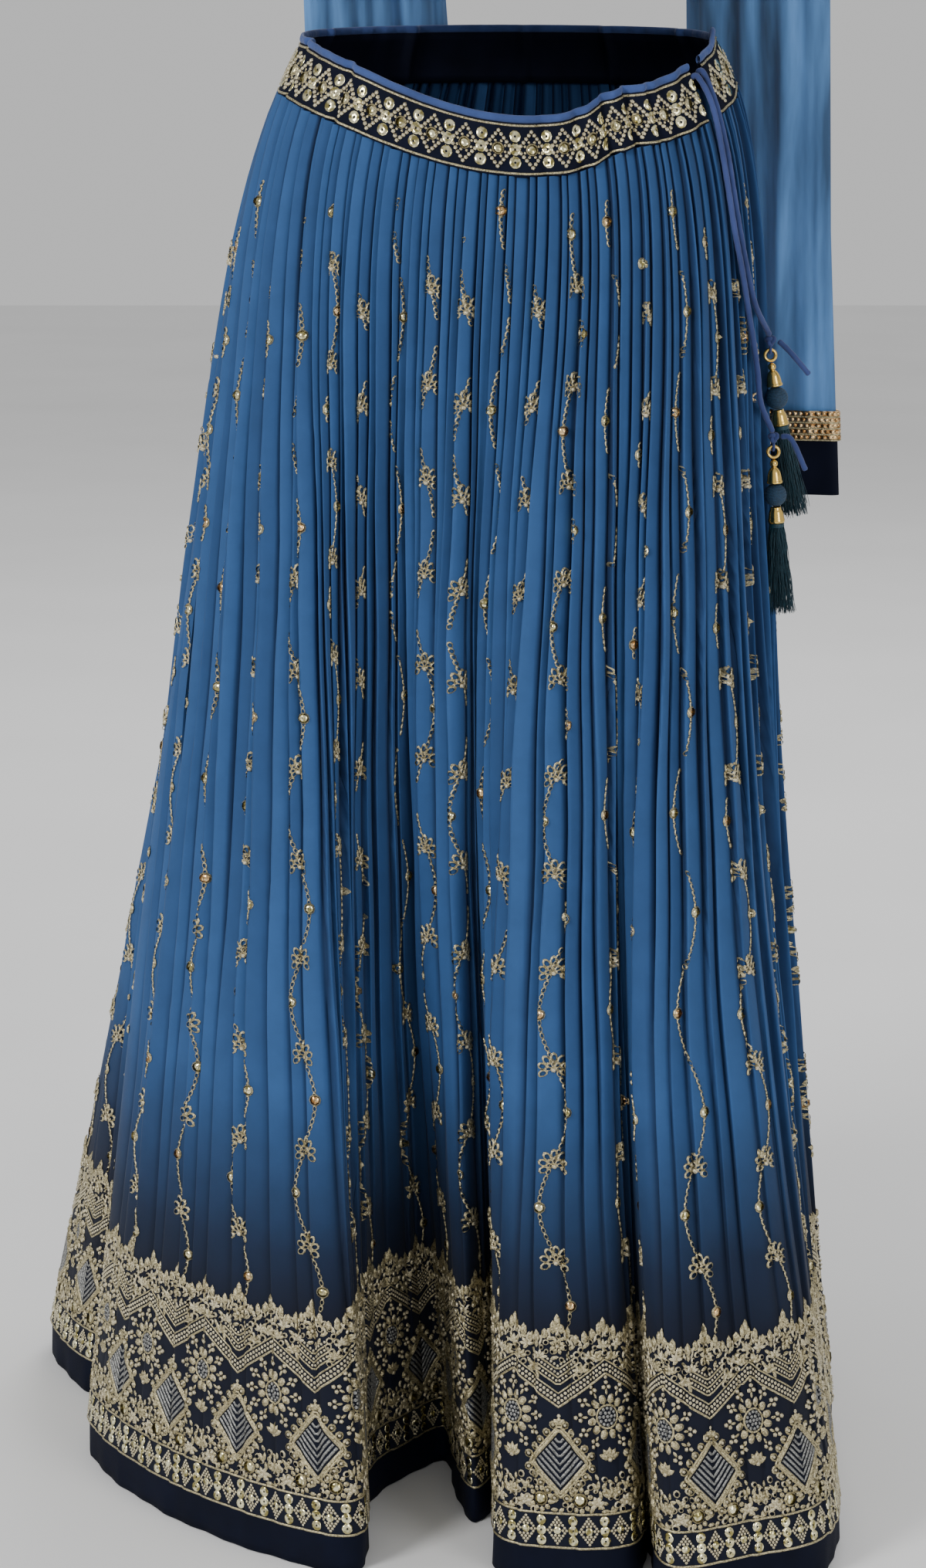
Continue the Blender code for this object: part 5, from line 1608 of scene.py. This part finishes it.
def make_embroidery():
    """The border's crown, motifs and strip, and the vines, each laid from its own place."""
    period = SKIRT.hem_length / REPEATS
    places = np.arange(REPEATS) * period
    lay("border_crown", [crown_motif(period)] * REPEATS, places, on_skirt)
    lay("border_motifs", [border_motif(period)] * REPEATS, places, on_skirt)
    pitch = SKIRT.hem_length / STRIP_COLUMNS
    columns = np.arange(STRIP_COLUMNS) * pitch
    lay("border_strip", [strip_motif(pitch)] * STRIP_COLUMNS, columns, on_skirt)
    vines = [vine_motif(number, place) for number, place in enumerate(places)]
    lay("vines", vines, places, on_skirt)


def make_band_embroidery():
    """Bead diamonds with ringed mirrors, and columns of pierced sequins between them."""
    length = BAND_ALONG[-1]
    count = round(length / BAND_PITCH)
    pitch = length / count
    motif = Motif()
    middle = BAND_HEIGHT / 2
    for i in range(6):
        for j in range(6):
            x, t = (i - j) * 0.0019, (i + j - 5) * 0.0023
            if i in (0, 5) or j in (0, 5):
                motif.bead(x, middle + t, 0.00150)
    motif.mirror(0, middle, BAND_MIRROR)
    motif.rosette(0, middle, 8, BAND_MIRROR, 0.0020, 0.0018)
    for k in (-1, 0, 1):
        size = (0.0040, 0.0040, 0.0030)
        motif.add(PIERCED_SHAPE, pitch / 2, middle + 0.0084 * k, size, tag=MIRROR)
    for t in (0.0016, BAND_HEIGHT - 0.0016):
        motif.cord([(-pitch / 2, t), (pitch / 2, t)], 0.0014)
    lay("band_embroidery", [motif] * count, (np.arange(count) + 0.5) * pitch, on_band)


def make_trim_sequins(side):
    """Rows of copper sequins round the sleeve's trim."""
    turns = np.linspace(0, 2 * math.pi, 721)
    z = np.full_like(turns, SLEEVE_END_Z)
    ring = sleeve_section(side, turns, z, 0.0)
    along = way_along(ring)
    sign = -1 if side == "right" else 1
    motif = Motif()
    step = along[-1] / TRIM_SEQUINS
    rise = TRIM_HEIGHT / TRIM_ROWS
    for row in range(TRIM_ROWS):
        motif.add(SEQUIN_SHAPE, step / 2 * (row % 2), rise * (row + 0.5), (0.0019, 0.0014, 0.0020),
                  tag=COPPER)
        motif.cord([(0, rise * row), (step, rise * row)], 0.0011, step=step)

    def on_trim(x, t, h, place):
        turn = np.interp((place + x) % along[-1], along, turns) * sign
        return sleeve_section(side, turn, SLEEVE_END_Z + t, TRIM_OUT + SEQUIN_LIFT + h)

    places = np.arange(TRIM_SEQUINS) * step
    lay(f"trim_sequins_{side}", [motif] * TRIM_SEQUINS, places, on_trim)


BAND_ANGLES, BAND_ALONG = band_lengths()

make_camera()
make_studio()
for string_key in ("a", "b"):
    make_drawstring(string_key)
make_skirt()
make_waistband()
make_blouse()
for sleeve_side in ("left", "right"):
    make_sleeve(sleeve_side)
    make_trim_sequins(sleeve_side)
make_embroidery()
make_band_embroidery()
